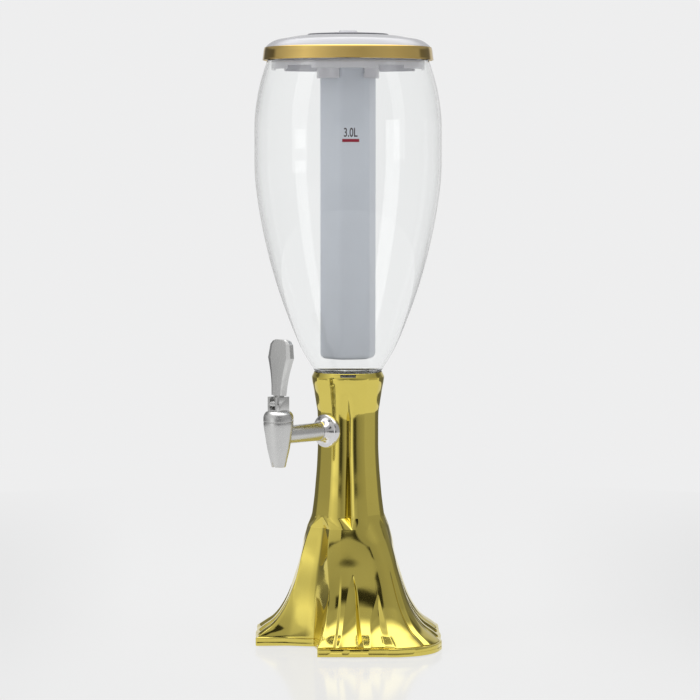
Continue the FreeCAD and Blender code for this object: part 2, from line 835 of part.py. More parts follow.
def make_container():
    outer = bulb_curve(0)
    inner = bulb_curve(container_wall)
    neck_bottom = foot_z - container_neck_depth
    neck_bore = container_neck_radius - container_wall
    lower = [
        inner.StartPoint,
        Vector(neck_bore, 0, foot_z),
        Vector(neck_bore, 0, neck_bottom),
        Vector(container_neck_radius, 0, neck_bottom),
        Vector(container_neck_radius, 0, foot_z),
        Vector(foot_radius, 0, foot_z),
        outer.StartPoint,
    ]
    mouth = [
        outer.EndPoint,
        Vector(mouth_radius, 0, shoulder_z + mouth_step),
        Vector(mouth_radius, 0, mouth_z),
        Vector(mouth_bore, 0, mouth_z),
        Vector(mouth_bore, 0, shoulder_z - mouth_step),
        inner.EndPoint,
    ]
    edges = [Part.LineSegment(a, b).toShape() for a, b in zip(lower, lower[1:])]
    edges.append(outer.toShape())
    edges += [Part.LineSegment(a, b).toShape() for a, b in zip(mouth, mouth[1:])]
    edges.append(inner.toShape())
    face = Part.Face(Part.Wire(Part.__sortEdges__(edges)))
    shell = face.revolve(Vector(0, 0, 0), UP, 360)
    lug_top = foot_z - lug_drop
    for index in range(lock_lugs):
        lug = sector(
            container_neck_radius + lug_reach, neck_bore + 1,
            lug_top - lug_height, lug_top, lug_plan + 360 / lock_lugs * index, lug_angle,
        )
        shell = shell.fuse(lug)
    return shell


# ---------------------------------------------------------------- lid

# The dome's outline: shares of its width and rise, from the band's top inwards.
dome_shape = [
    (1.0, 0.06), (0.94, 0.28), (0.80, 0.53), (0.62, 0.71), (0.45, 0.86), (0.22, 0.965), (0.0, 1.0),
]
dome_width = lid_outer_top - recess_radius


def make_lid_shell():
    """Dome, wall under the band, plug ring, and the socket with its claws."""
    gasket_top = mouth_z + seat_gap + gasket_height
    ring_inside = plug_ring_radius - plug_ring_wall
    dome = [
        (recess_radius + dome_width * across, band_top_z + dome_height * rise)
        for across, rise in dome_shape
    ]
    under = [(radius - lid_wall * 0.4, height - lid_wall) for radius, height in dome[4:1:-1]]
    shell = turned([
        (lid_outer_bottom, band_bottom_z + band_lip),
        (lid_outer_top, band_top_z),
    ] + dome + [
        (recess_radius, recess_z),
        (claw_inner_radius, recess_z),
        (claw_inner_radius, claw_bottom_z),
        (claw_outer_radius, claw_bottom_z),
        (claw_outer_radius, recess_z - lid_wall),
        (recess_radius, recess_z - lid_wall),
    ] + under + [
        (ring_inside, band_top_z),
        (ring_inside, plug_ring_bottom_z),
        (plug_ring_radius, plug_ring_bottom_z),
        (plug_ring_radius, gasket_top),
        (mouth_radius, gasket_top),
        (mouth_radius + nest_gap, mouth_z),
        (mouth_radius + band_overhang / 3, band_bottom_z + band_lip),
    ])
    step = 360 / claw_count
    for index in range(claw_count):
        middle = claw_plan + step * index
        gap = sector(
            claw_outer_radius + claw_wall, claw_inner_radius - claw_wall,
            claw_bottom_z, claw_top_z, middle + step / 2, step - claw_angle,
        )
        # Track inside the claw for a lug of the ice tube, open towards the gap.
        track = sector(
            tube_lug_radius + nest_gap, claw_inner_radius - claw_wall,
            tube_lug_z - nest_gap, tube_lug_z + tube_lug_height + nest_gap,
            tube_lug_plan + step * index, tube_lug_angle + 8,
        )
        shell = shell.cut(gap).cut(track)
    for index in range(plug_notches):
        notch = sector(
            plug_ring_radius + 1, ring_inside - 1,
            plug_ring_bottom_z, plug_ring_bottom_z + plug_notch_height,
            plug_notch_plan + 360 / plug_notches * index, plug_notch_angle,
        )
        shell = shell.cut(notch)
    return shell


def make_lid_band():
    bottom = band_bottom_radius + band_lip
    return turned([
        (lid_outer_bottom + pin_fit, band_bottom_z + band_lip),
        (lid_outer_bottom, band_bottom_z),
        (bottom, band_bottom_z),
        (bottom, band_bottom_z + band_lip),
        (band_bottom_radius, band_bottom_z + 2 * band_lip),
        (band_top_radius, band_top_z - band_lip),
        (band_top_radius, band_top_z),
        (lid_outer_top + pin_fit, band_top_z),
    ])


def make_lid_gasket():
    low = mouth_z + seat_gap
    return ring(mouth_radius - nest_gap, plug_ring_radius + pin_fit, low, low + gasket_height)


cap_seal_low = tube_top_z - cap_plug_depth + cap_seal_height


def make_ice_cap():
    plug_low = tube_top_z - cap_plug_depth
    groove = cap_plug_radius - cap_seal_depth
    inside = cap_plug_radius - cap_plug_wall
    return turned([
        (0, cap_top_z),
        (cap_button_radius, cap_top_z),
        (1.2 * cap_button_radius, cap_top_z - 0.8 * cap_edge),
        (0.96 * cap_radius, cap_top_z - 0.9 * cap_edge),
        (cap_radius, cap_top_z - cap_edge),
        (cap_radius, cap_bottom_z),
        (cap_plug_radius, cap_bottom_z),
        (cap_plug_radius, cap_seal_low + cap_seal_height),
        (groove, cap_seal_low + cap_seal_height),
        (groove, cap_seal_low),
        (cap_plug_radius, cap_seal_low),
        (cap_plug_radius, plug_low),
        (inside, plug_low),
        (inside, cap_bottom_z + lid_wall),
        (0, cap_bottom_z + lid_wall),
    ])


def make_ice_cap_seal():
    high = cap_seal_low + cap_seal_height
    inner = cap_plug_radius - cap_seal_depth + pin_fit
    return ring(tube_bore - nest_gap, inner, cap_seal_low, high)


# ---------------------------------------------------------------- ice tube

def make_ice_tube():
    inner_low = tube_bottom_z + tube_wall
    outer = hexagon(tube_apothem, tube_bottom_z, tube_collar_z, tube_corner, tube_plan)
    outer = round_bottom(outer, tube_bottom_z, tube_bottom_rounding)
    inner = hexagon(
        tube_apothem - tube_wall, inner_low, tube_collar_z, tube_corner - tube_wall, tube_plan)
    inner = round_bottom(inner, inner_low, tube_bottom_rounding - tube_wall)
    tube = outer.fuse(ring(tube_collar_radius, 0, tube_collar_z, tube_top_z))
    for index in range(claw_count):
        lug = sector(
            tube_lug_radius, tube_apothem - tube_wall / 2,
            tube_lug_z, tube_lug_z + tube_lug_height,
            tube_lug_plan + 360 / claw_count * index, tube_lug_angle,
        )
        tube = tube.fuse(lug)
    tube = tube.cut(inner)
    return tube.cut(ring(tube_bore, 0, tube_collar_z, tube_top_z))


def round_bottom(bar, low, rounding):
    edges = [edge for edge in bar.Edges if abs(edge.BoundBox.ZMax - low) < 0.01]
    return bar.makeFillet(rounding, edges)


# ---------------------------------------------------------------- tap

tap_centre = Vector(0, tap_y, 0)
shank_centre = Vector(0, 0, tap_z)


def cross_hole(radius, y, z):
    """A sideways bar through the yoke, for its pins and their holes."""
    start = Vector(-yoke_width / 2, y, z)
    return Part.makeCylinder(radius, yoke_width, start, SIDEWAYS)


def make_tap_body():
    cone = body_top_radius - nozzle_tip_radius
    outer = turned([
        (0, nozzle_tip_z),
        (nozzle_tip_radius, nozzle_tip_z),
        (nozzle_tip_radius + 0.25 * cone, nozzle_tip_z + 0.27 * nozzle_length),
        (nozzle_tip_radius + 0.72 * cone, nozzle_tip_z + 0.88 * nozzle_length),
        (nozzle_tip_radius + 0.95 * cone, tap_z + 0.50 * body_rise),
        (body_top_radius, tap_z + 0.85 * body_rise),
        (body_top_radius, body_top_z),
        (body_neck_radius, body_top_z),
        (body_neck_radius, body_neck_top_z),
        (0, body_neck_top_z),
    ], tap_centre)
    shank = ring(shank_radius, 0, waist_flat + washer_thickness, -tap_y, shank_centre, FORWARD)
    thread = ring(thread_radius, 0, thread_end, -tap_y, shank_centre, FORWARD)
    body = outer.fuse(shank).fuse(thread)
    body = body.cut(ring(chamber_radius, 0, valve_seat_z, body_neck_top_z, tap_centre))
    body = body.cut(ring(nozzle_bore, 0, nozzle_tip_z, valve_seat_z, tap_centre))
    body = body.cut(ring(shank_bore, 0, thread_end, -tap_y, shank_centre, FORWARD))
    # Small drip notch in the front of the nozzle's tip.
    half = nozzle_tip_radius * 0.3
    notch = [Vector(-half, 0, nozzle_tip_z), Vector(half, 0, nozzle_tip_z)]
    notch.append(Vector(0, 0, nozzle_tip_z + nozzle_tip_radius * 0.8))
    face = Part.Face(Part.makePolygon(notch + [notch[0]]))
    cutter = face.extrude(FORWARD * body_top_radius)
    cutter.translate(tap_centre)
    return body.cut(cutter)


# The flange's outline: shares of its radius at shares of its depth.
flange_shape = [(0.96, 0.30), (0.86, 0.48), (0.70, 0.64), (0.58, 0.80)]


def make_tap_flange():
    bore = shank_radius + pin_fit
    outline_points = [
        (flange_radius * size, flange_back_y - flange_depth * share)
        for size, share in flange_shape
    ]
    return turned_about_shank([
        (bore, flange_back_y),
        (flange_radius, flange_back_y),
        (flange_radius, flange_back_y - flange_edge),
    ] + outline_points + [
        (bore + 0.8, flange_back_y - flange_depth),
        (bore, flange_back_y - flange_depth),
    ])


def shank_washer(radius, back_y, thickness):
    """A flat ring on the shank's thread."""
    bore = thread_radius + pin_fit
    front_y = back_y - thickness
    return turned_about_shank([
        (bore, back_y), (radius, back_y), (radius, front_y), (bore, front_y)])


def make_tap_washer_outer():
    return shank_washer(flange_radius - 1.2, -waist_flat, washer_thickness)


def make_tap_washer_inner():
    back_y = nut_washer_thickness - pad_back
    return shank_washer(nut_width / 2, back_y, nut_washer_thickness)


def make_tap_nut():
    across_corners = nut_width / math.cos(math.radians(30)) / 2
    rounded = turned([
        (0, 0),
        (nut_width * 0.53, 0),
        (across_corners, nut_thickness * 0.2),
        (across_corners, nut_thickness * 0.8),
        (nut_width * 0.53, nut_thickness),
        (0, nut_thickness),
    ])
    nut = hexagon(nut_width / 2, 0, nut_thickness, 0).common(rounded)
    nut = nut.cut(ring(thread_radius + pin_fit, 0, 0, nut_thickness))
    nut.rotate(Vector(0, 0, 0), SIDEWAYS, -90)
    nut.translate(Vector(0, nut_washer_thickness - pad_back, tap_z))
    return nut


def make_tap_bonnet():
    bore = body_neck_radius + pin_fit
    stem_hole = stem_radius + pin_fit
    inner_top = body_neck_top_z + bonnet_seal_height
    return turned([
        (bore, body_top_z),
        (bonnet_radius, body_top_z),
        (bonnet_radius, body_top_z + 0.52 * bonnet_height),
        (bonnet_radius * 0.955, body_top_z + 0.72 * bonnet_height),
        (bonnet_radius * 0.87, body_top_z + 0.88 * bonnet_height),
        (bonnet_top_radius, bonnet_top_z),
        (stem_hole, bonnet_top_z),
        (stem_hole, bonnet_top_z - bonnet_plate),
        (chamber_radius, bonnet_top_z - bonnet_plate),
        (chamber_radius, inner_top),
        (bore, inner_top),
    ], tap_centre)


def make_bonnet_seal():
    high = body_neck_top_z + bonnet_seal_height
    return ring(body_neck_radius, chamber_radius, body_neck_top_z, high, tap_centre)


def make_tap_yoke():
    top = bonnet_top_z + yoke_height
    block = box(
        (-yoke_width / 2, yoke_width / 2),
        (tap_y - yoke_depth / 2, tap_y + yoke_depth / 2),
        (bonnet_top_z, top),
    )
    upright = [edge for edge in block.Edges if abs(edge.tangentAt(0).z) > 0.9]
    block = block.makeChamfer(yoke_bevel, upright)
    slot = box(
        (-yoke_slot / 2, yoke_slot / 2),
        (tap_y - yoke_depth, tap_y + yoke_depth),
        (bonnet_top_z + yoke_base, top),
    )
    stem_hole = ring(stem_radius + pin_fit, 0, bonnet_top_z, top, tap_centre)
    return block.cut(slot).cut(stem_hole).cut(cross_hole(hinge_pin_radius, pivot_y, pivot_z))


# The paddle, upwards: shares of its length, half width and half depth.
paddle_shape = [
    (0.00, 0.50, 1.00),
    (0.17, 0.55, 1.00),
    (0.31, 0.63, 1.00),
    (0.44, 0.74, 1.00),
    (0.56, 0.87, 1.00),
    (0.67, 1.00, 1.00),
    (0.91, 0.86, 1.00),
    (0.975, 0.67, 0.90),
    (1.00, 0.48, 0.70),
]


def paddle_section(height, half_width, half_depth):
    """A flat face in front and behind, with a wide bevel down to each side, at a height."""
    corners = []
    for across, along_y in ((1, -1), (1, 1), (-1, 1), (-1, -1)):
        wide = Vector(across * half_width, tap_y + along_y * (half_depth - lever_bevel), height)
        deep = Vector(across * half_width * lever_panel, tap_y + along_y * half_depth, height)
        corners += [deep, wide] if across * along_y < 0 else [wide, deep]
    return corners


def make_tap_lever():
    """Bevelled paddle on a forked foot, leaning back a little."""
    foot_top = bonnet_top_z + yoke_height + lever_shoulder
    length = pivot_z + lever_length - foot_top
    half_width = lever_width / 2
    half_depth = lever_depth / 2
    paddle = loft([
        paddle_section(foot_top + length * share, half_width * wide, half_depth * deep)
        for share, wide, deep in paddle_shape
    ])
    across = (-lever_foot_width / 2, lever_foot_width / 2)
    boss = 2 * hinge_pin_radius
    reach = lever_foot_depth / 2
    foot = box(across, (tap_y - reach, tap_y + reach), (pivot_z, foot_top + lever_shoulder / 3))
    foot = foot.fuse(box(across, (pivot_y, tap_y), (pivot_z - boss, pivot_z + boss)))
    for y in (pivot_y, tap_y):
        start = Vector(across[0], y, pivot_z)
        foot = foot.fuse(Part.makeCylinder(boss, lever_foot_width, start, SIDEWAYS))
    lever = paddle.fuse(foot)
    lever.rotate(Vector(0, pivot_y, pivot_z), SIDEWAYS, -lever_lean)
    fork = box(
        (-lever_fork_slot / 2, lever_fork_slot / 2),
        (tap_y - lever_fork_reach, tap_y + 2 * lever_fork_reach),
        (bonnet_top_z, pivot_z + lever_fork_rise),
    )
    lever = lever.cut(fork)
    lever = lever.cut(cross_hole(hinge_pin_radius + pin_fit, pivot_y, pivot_z))
    return lever.cut(cross_hole(lift_pin_radius, tap_y, pivot_z))


def make_hinge_pin():
    return cross_hole(hinge_pin_radius, pivot_y, pivot_z)


def make_lift_pin():
    start = Vector(-lever_foot_width / 2, tap_y, pivot_z)
    return Part.makeCylinder(lift_pin_radius, lever_foot_width, start, SIDEWAYS)


barb_low = cup_bottom_z + seat_cup_floor
barb_high = barb_low + barb_height


def make_tap_stem():
    """Rod with a spring collar, a barb in the seat cup, and a slotted tongue on top."""
    tongue_low = bonnet_top_z + yoke_base + seat_gap
    rod = ring(stem_radius, 0, barb_low, tongue_low, tap_centre)
    collar = ring(collar_radius, 0, collar_z, collar_z + collar_thickness, tap_centre)
    barb = ring(stem_radius + barb_reach, 0, barb_low, barb_high, tap_centre)
    tongue = box(
        (-stem_tongue / 2, stem_tongue / 2),
        (tap_y - stem_tongue_depth / 2, tap_y + stem_tongue_depth / 2),
        (tongue_low, pivot_z + stem_tongue_rise),
    )
    eye = lift_pin_radius + lift_slot_play
    slot = box(
        (-stem_tongue, stem_tongue),
        (tap_y - lift_pin_radius - lift_slot_room, tap_y + eye),
        (pivot_z - eye, pivot_z + eye),
    )
    return rod.fuse(collar).fuse(barb).fuse(tongue).cut(slot)


def make_seat_cup():
    outer = chamber_radius - seat_cup_play
    return turned([
        (0, cup_bottom_z),
        (outer - seat_cup_bevel, cup_bottom_z),
        (outer, cup_bottom_z + seat_cup_bevel),
        (outer, collar_z),
        (stem_radius, collar_z),
        (stem_radius, barb_high),
        (stem_radius + barb_reach, barb_high),
        (stem_radius + barb_reach, barb_low),
        (0, barb_low),
    ], tap_centre)


def make_tap_spring():
    low = collar_z + collar_thickness + spring_wire + 2 * pin_fit
    high = bonnet_top_z - bonnet_plate - spring_wire - 2 * pin_fit
    pitch = (high - low) / spring_turns
    path = Part.makeHelix(pitch, high - low, spring_radius)
    corners = []
    for side in range(spring_sides):
        turn = 2 * math.pi * side / spring_sides
        across = spring_radius + spring_wire * math.cos(turn)
        corners.append(Vector(across, 0, spring_wire * math.sin(turn)))
    section_wire = Part.makePolygon(corners + [corners[0]])
    coil = Part.Wire(path).makePipeShell([section_wire], True, True)
    coil.translate(tap_centre + UP * low)
    return coil


# ---------------------------------------------------------------- underside

def cover_screw_spots():
    back = [plan(turn, post_circle) for turn in (90, 180, 270)]
    return [plan(0, front_post)] + back


def foot_spots():
    step = 360 / foot_count
    return [plan(step * (index + 0.5), foot_pad_circle) for index in range(foot_count)]


def make_bottom_cover():
    low = cover_bottom_z
    edge = plinth_section(low, base_wall + nest_gap)
    plate = Part.Face(Part.makePolygon(edge + [edge[0]])).extrude(UP * cover_thickness)
    head = screw_head_radius + nest_gap
    for spot in cover_screw_spots():
        plate = plate.cut(ring(screw_radius + nest_gap, 0, low, cover_top_z, spot))
        plate = plate.cut(ring(head, 0, low, low + screw_head_recess, spot))
    for spot in foot_spots():
        plate = plate.cut(ring(foot_pad_radius + pin_fit, 0, low, low + foot_recess, spot))
    return plate


def make_rubber_feet():
    top = cover_bottom_z + foot_recess
    return Part.makeCompound([
        turned([
            (0, 0),
            (foot_pad_radius - foot_drop, 0),
            (foot_pad_radius, foot_drop),
            (foot_pad_radius, top),
            (0, top),
        ], spot)
        for spot in foot_spots()
    ])


def make_cover_screws():
    head_top = cover_bottom_z + screw_head_recess
    length = cover_screw_length + cover_thickness - screw_head_recess - cover_screw_tip
    return Part.makeCompound([
        make_screw(spot, head_top, length) for spot in cover_screw_spots()
    ])


# ---------------------------------------------------------------- the whole tower

pieces = {
    "base_shell": make_base_shell,
    "inner_well": make_inner_well,
    "well_screws": make_well_screws,
    "container_seal": make_container_seal,
    "container": make_container,
    "lid_shell": make_lid_shell,
    "lid_band": make_lid_band,
    "lid_gasket": make_lid_gasket,
    "ice_cap": make_ice_cap,
    "ice_cap_seal": make_ice_cap_seal,
    "ice_tube": make_ice_tube,
    "tap_body": make_tap_body,
    "tap_flange": make_tap_flange,
    "tap_washer_outer": make_tap_washer_outer,
    "tap_washer_inner": make_tap_washer_inner,
    "tap_nut": make_tap_nut,
    "tap_bonnet": make_tap_bonnet,
    "bonnet_seal": make_bonnet_seal,
    "tap_yoke": make_tap_yoke,
    "tap_lever": make_tap_lever,
    "hinge_pin": make_hinge_pin,
    "lift_pin": make_lift_pin,
    "tap_stem": make_tap_stem,
    "seat_cup": make_seat_cup,
    "tap_spring": make_tap_spring,
    "bottom_cover": make_bottom_cover,
    "rubber_feet": make_rubber_feet,
    "cover_screws": make_cover_screws,
}

for name, make in pieces.items():
    export(make(), name)
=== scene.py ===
# %% [markdown]
# # A three-litre drink tower
# The tower is a clear bulb on a gold-plated base, with a lid, an ice tube and a lever tap.
# Its working parts come packed from CAD. Here each visible piece gets its real surface:
# either a finer mesh that takes the CAD piece's place, or a finish on the CAD piece itself.
# Lengths are written in millimetres, as on a workshop drawing, and scaled once.

# %% The fixed frame
import math
import bmesh
import bpy
import numpy as np
from mathutils import Matrix, Vector


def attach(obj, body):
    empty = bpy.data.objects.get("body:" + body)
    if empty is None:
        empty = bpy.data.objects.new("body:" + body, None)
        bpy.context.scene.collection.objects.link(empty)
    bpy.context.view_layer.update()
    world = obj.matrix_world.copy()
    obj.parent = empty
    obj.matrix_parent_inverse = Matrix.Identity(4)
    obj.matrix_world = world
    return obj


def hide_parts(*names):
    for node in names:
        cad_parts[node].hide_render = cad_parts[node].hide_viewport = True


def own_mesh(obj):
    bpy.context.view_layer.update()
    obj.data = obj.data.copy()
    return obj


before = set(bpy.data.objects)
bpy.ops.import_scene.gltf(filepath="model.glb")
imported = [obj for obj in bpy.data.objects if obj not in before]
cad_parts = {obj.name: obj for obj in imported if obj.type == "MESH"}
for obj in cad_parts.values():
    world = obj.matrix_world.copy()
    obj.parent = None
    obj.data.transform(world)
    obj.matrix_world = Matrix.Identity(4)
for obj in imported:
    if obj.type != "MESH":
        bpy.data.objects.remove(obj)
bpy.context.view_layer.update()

MM = 0.001
scene = bpy.context.scene

# %% [markdown]
# ## The camera
# The tower is seen from a little above the middle of its bulb, with the tap turned to the
# left. A long lens far away keeps the upright lines upright. Directions round the tower
# are plan angles in degrees: 0 is where the tap points, and they grow towards +X.

# %% Camera
VIEW_TURN = 45.0
VIEW_DISTANCE = 2.5
VIEW_HEIGHT = 0.453
LENS = 140.6
# The camera aims a little right of the axis and below the tower's middle.
AIM_RIGHT = 0.0018
AIM_HEIGHT = 0.2702


def plan(angle, radius=1.0, height=0.0):
    """The point at a plan angle, a radius and a height, all in the units given."""
    turn = math.radians(angle)
    return Vector((radius * math.sin(turn), -radius * math.cos(turn), height))


def seen_from(turn, radius, height):
    """A point round the tower, with its plan angle counted from the camera's."""
    return plan(VIEW_TURN + turn, radius, height)


def added(name, data):
    """A new object in the scene with this data."""
    obj = bpy.data.objects.new(name, data)
    scene.collection.objects.link(obj)
    return obj


def aimed(obj, target):
    """Points a camera or a lamp at a place."""
    obj.rotation_euler = (target - obj.location).to_track_quat("-Z", "Y").to_euler()


camera_data = bpy.data.cameras.new("camera")
camera_data.lens = LENS
camera = added("camera", camera_data)
camera.location = plan(VIEW_TURN, VIEW_DISTANCE, VIEW_HEIGHT)
aimed(camera, seen_from(90, AIM_RIGHT, AIM_HEIGHT))
scene.camera = camera
print("camera at", [round(value, 3) for value in camera.location])

# %% [markdown]
# ## Wires that add up
# Finishes and Geometry Nodes are both graphs. One class adds nodes to either, always in
# the same order: what the node is, how it is set, and what goes into it. A second class
# wraps one number on a wire, so that arithmetic in Python adds the Math nodes.

# %% Graph helpers
class Graph:
    """Adds nodes to a node tree."""

    def __init__(self, tree):
        self.tree = tree

    def node(self, kind, settings=None, values=None):
        made = self.tree.nodes.new(kind)
        for name, value in (settings or {}).items():
            if name == "stops":
                self.set_stops(made.color_ramp, value)
            else:
                setattr(made, name, value)
        for name, value in (values or {}).items():
            wire = value.socket if isinstance(value, Number) else value
            if isinstance(wire, bpy.types.NodeSocket):
                self.tree.links.new(wire, made.inputs[name])
            else:
                made.inputs[name].default_value = wire
        return made

    def set_stops(self, ramp, stops):
        while len(ramp.elements) < len(stops):
            ramp.elements.new(0.5)
        for element, (place, shade) in zip(ramp.elements, stops):
            element.position = place
            element.color = (shade, shade, shade, 1)

    def number(self, kind, settings=None, values=None, output=0):
        """Adds a node and gives one of its outputs as a Number."""
        return Number(self, self.node(kind, settings, values).outputs[output])

    def math(self, operation, *values):
        return self.number("ShaderNodeMath", {"operation": operation}, dict(enumerate(values)))

    def axes(self, vector):
        """The X, Y and Z of a vector."""
        split = self.node("ShaderNodeSeparateXYZ", None, {0: vector})
        return [Number(self, socket) for socket in split.outputs]

    def mixed(self, share, first, second):
        """A shader that runs from the first to the second."""
        return self.node("ShaderNodeMixShader", None, {
            0: share, 1: first.outputs[0], 2: second.outputs[0],
        })


class Number:
    """One number on a wire."""

    def __init__(self, graph, socket):
        self.graph = graph
        self.socket = socket

    def __add__(self, other):
        return self.graph.math("ADD", self, other)

    def __sub__(self, other):
        return self.graph.math("SUBTRACT", self, other)

    def __rsub__(self, other):
        return self.graph.math("SUBTRACT", other, self)

    def __mul__(self, other):
        return self.graph.math("MULTIPLY", self, other)

    def __truediv__(self, other):
        return self.graph.math("DIVIDE", self, other)

    __radd__ = __add__
    __rmul__ = __mul__

    def cosine(self):
        return self.graph.math("COSINE", self)

    def sine(self):
        return self.graph.math("SINE", self)

    def root(self):
        return self.graph.math("SQRT", self)

    def at_most(self, limit):
        return self.graph.math("MINIMUM", self, limit)

    def over(self, limit):
        return self.graph.math("GREATER_THAN", self, limit)


def empty_material(name):
    """A material with nothing in its graph yet."""
    material = bpy.data.materials.new(name)
    material.use_nodes = True
    material.node_tree.nodes.clear()
    return material


# %% [markdown]
# ## The studio
# A plain pale room with three soft lamps. The world shows one pale colour to the camera,
# and to metal and clear plastic as well. Polished gold only looks like metal when it has
# something to mirror, so a tent stands round the tower, as for a product photograph. It
# is seen by reflections alone, and neither lights, shades nor hides anything.

# %% World
def looked_at(graph):
    """1 for what is seen directly, in metal or through clear plastic, and 0 for light."""
    ray = graph.node("ShaderNodeLightPath").outputs
    seen_directly = graph.math("MAXIMUM", Number(graph, ray["Is Camera Ray"]),
                               Number(graph, ray["Is Glossy Ray"]))
    return graph.math("MAXIMUM", seen_directly, Number(graph, ray["Is Transmission Ray"]))


PALE = (0.855, 0.855, 0.858, 1)
SKY_LIGHT = (0.97, 0.985, 1, 1)
SKY_LEVEL = 0.5
world = bpy.data.worlds.new("studio")
scene.world = world
world.use_nodes = True
world.node_tree.nodes.clear()
room = Graph(world.node_tree)
seen = room.node("ShaderNodeBackground", None, {"Color": PALE, "Strength": 1.0})
cast = room.node("ShaderNodeBackground", None, {"Color": SKY_LIGHT, "Strength": SKY_LEVEL})
choice = room.mixed(looked_at(room), cast, seen)
room.node("ShaderNodeOutputWorld", None, {"Surface": choice.outputs[0]})


# %% Lamps
LAMP_AIM = Vector((0, 0, 0.25))


def soft_lamp(name, turn, distance, height, width, tall, radiance):
    """A rectangular lamp of an even brightness, that lights but isn't mirrored."""
    data = bpy.data.lights.new(name, "AREA")
    data.shape = "RECTANGLE"
    data.size = width
    data.size_y = tall
    data.energy = radiance * math.pi * width * tall
    lamp = added(name, data)
    lamp.location = seen_from(turn, distance, height)
    aimed(lamp, LAMP_AIM)
    lamp.visible_camera = False
    lamp.visible_glossy = False


soft_lamp("left_lamp", -62, 1.7, 0.9, 0.7, 1.3, 1.5)
soft_lamp("right_lamp", 66, 1.9, 1.0, 0.6, 1.2, 1.1)
soft_lamp("top_lamp", 10, 0.5, 1.9, 1.2, 1.0, 1.2)

# %% [markdown]
# ### The tent
# The tent is a dome whose cloth is lit unevenly: brighter at the left and overhead, dark
# behind the camera and at the back corners, and as pale as the room straight behind.
# Four ramps give its brightness round the tower, one above the other: for the upright
# neck, the skirt, the lid's band and the slopes. A last step brings in the bright top.

# %% Tent cloth
TENT_RADIUS = 1.2
TENT_LEVEL = 1.4
TENT_TOP_LEVEL = 2.4
TENT_BOTTOM = -0.6
# (direction from the camera's in degrees, brightness), from low down upwards
low_tent = [(-180, 0.86), (-166, 0.80), (-156, 0.18), (-122, 0.16), (-104, 0.34), (-84, 0.42),
            (-66, 0.62), (-50, 1.15), (-38, 0.95), (-24, 0.22), (-10, 0.05), (10, 0.05),
            (24, 0.20), (45, 0.36), (66, 0.44), (92, 0.50), (108, 0.36), (124, 0.18),
            (156, 0.16), (168, 0.80), (180, 0.86)]
skirt_tent = [(-180, 0.7), (-160, 0.6), (-150, 0.3), (-118, 0.25), (-110, 0.45), (-90, 0.55),
              (-50, 0.85), (-20, 0.5), (20, 0.38), (60, 0.42), (108, 0.40), (114, 0.25),
              (140, 0.25), (148, 0.6), (180, 0.7)]
band_tent = [(-180, 0.7), (-160, 0.6), (-151, 0.12), (-118, 0.12), (-110, 0.45), (-90, 0.55),
             (-50, 0.70), (-18, 0.55), (-15, 0.03), (15, 0.03), (18, 0.36), (60, 0.42),
             (108, 0.40), (114, 0.15), (140, 0.15), (148, 0.6), (180, 0.7)]
high_tent = [(-180, 0.6), (-150, 0.3), (-110, 0.4), (-60, 0.9), (-20, 0.55), (20, 0.42),
             (60, 0.5), (100, 0.38), (140, 0.3), (180, 0.6)]
cloth = empty_material("tent_cloth")
cloth.cycles.emission_sampling = "NONE"
weave = Graph(cloth.node_tree)
x, y, z = weave.axes(weave.node("ShaderNodeTexCoord").outputs["Object"])
turn_round = weave.math("WRAP", weave.math("ARCTAN2", x, y * -1.0) - math.radians(VIEW_TURN),
                        math.pi, -math.pi)
place = turn_round / (2 * math.pi) + 0.5


def ramp(stops):
    """Brightness round the tower, from its (degrees, level) stops."""
    return weave.number("ShaderNodeValToRGB", {
        "stops": [(0.5 + degrees / 360, level / TENT_LEVEL) for degrees, level in stops],
    }, {0: place})


def step_up(low, high):
    """0 below one height of the tent and 1 above another, in degrees seen from the tower."""
    return weave.number("ShaderNodeMapRange", {"interpolation_type": "SMOOTHSTEP"}, {
        "Value": z, "From Min": TENT_RADIUS * math.sin(math.radians(low)),
        "From Max": TENT_RADIUS * math.sin(math.radians(high)),
    })


def blended(first, second, share):
    """A brightness that runs from the first to the second."""
    return first * (1 - share) + second * share


level = blended(ramp(low_tent), ramp(skirt_tent), step_up(8, 13))
level = blended(level, ramp(band_tent), step_up(25, 28))
level = blended(level, ramp(high_tent), step_up(34, 40))
overhead = step_up(48, 66)
level = level * TENT_LEVEL * (1 - overhead) + overhead * TENT_TOP_LEVEL
glow = weave.node("ShaderNodeEmission", None, {"Color": (1, 1, 1, 1), "Strength": level})
weave.node("ShaderNodeOutputMaterial", None, {"Surface": glow.outputs[0]})

# %% Tent
def mesh_from(shape, name):
    """A plain mesh from a bmesh, which ends with it."""
    mesh = bpy.data.meshes.new(name)
    shape.to_mesh(mesh)
    shape.free()
    return mesh


shape = bmesh.new()
bmesh.ops.create_uvsphere(shape, u_segments=64, v_segments=32, radius=TENT_RADIUS)
below = [vertex for vertex in shape.verts if vertex.co.z < TENT_BOTTOM]
bmesh.ops.delete(shape, geom=below, context="VERTS")
bmesh.ops.reverse_faces(shape, faces=shape.faces)
tent_mesh = mesh_from(shape, "tent")
tent_mesh.materials.append(cloth)
tent = added("tent", tent_mesh)
for kind in ("camera", "diffuse", "transmission", "volume_scatter", "shadow"):
    setattr(tent, "visible_" + kind, False)

# %% [markdown]
# ## The floor
# A glossy pale table top. Near the tower it is a real surface, that takes the soft shadow
# and mirrors the gold foot faintly. Where it is looked at, it glows by itself up to the
# plain colour of the room, so the lamps needn't be turned up for it. Further out it is
# that plain colour alone, so that no horizon shows from any side.

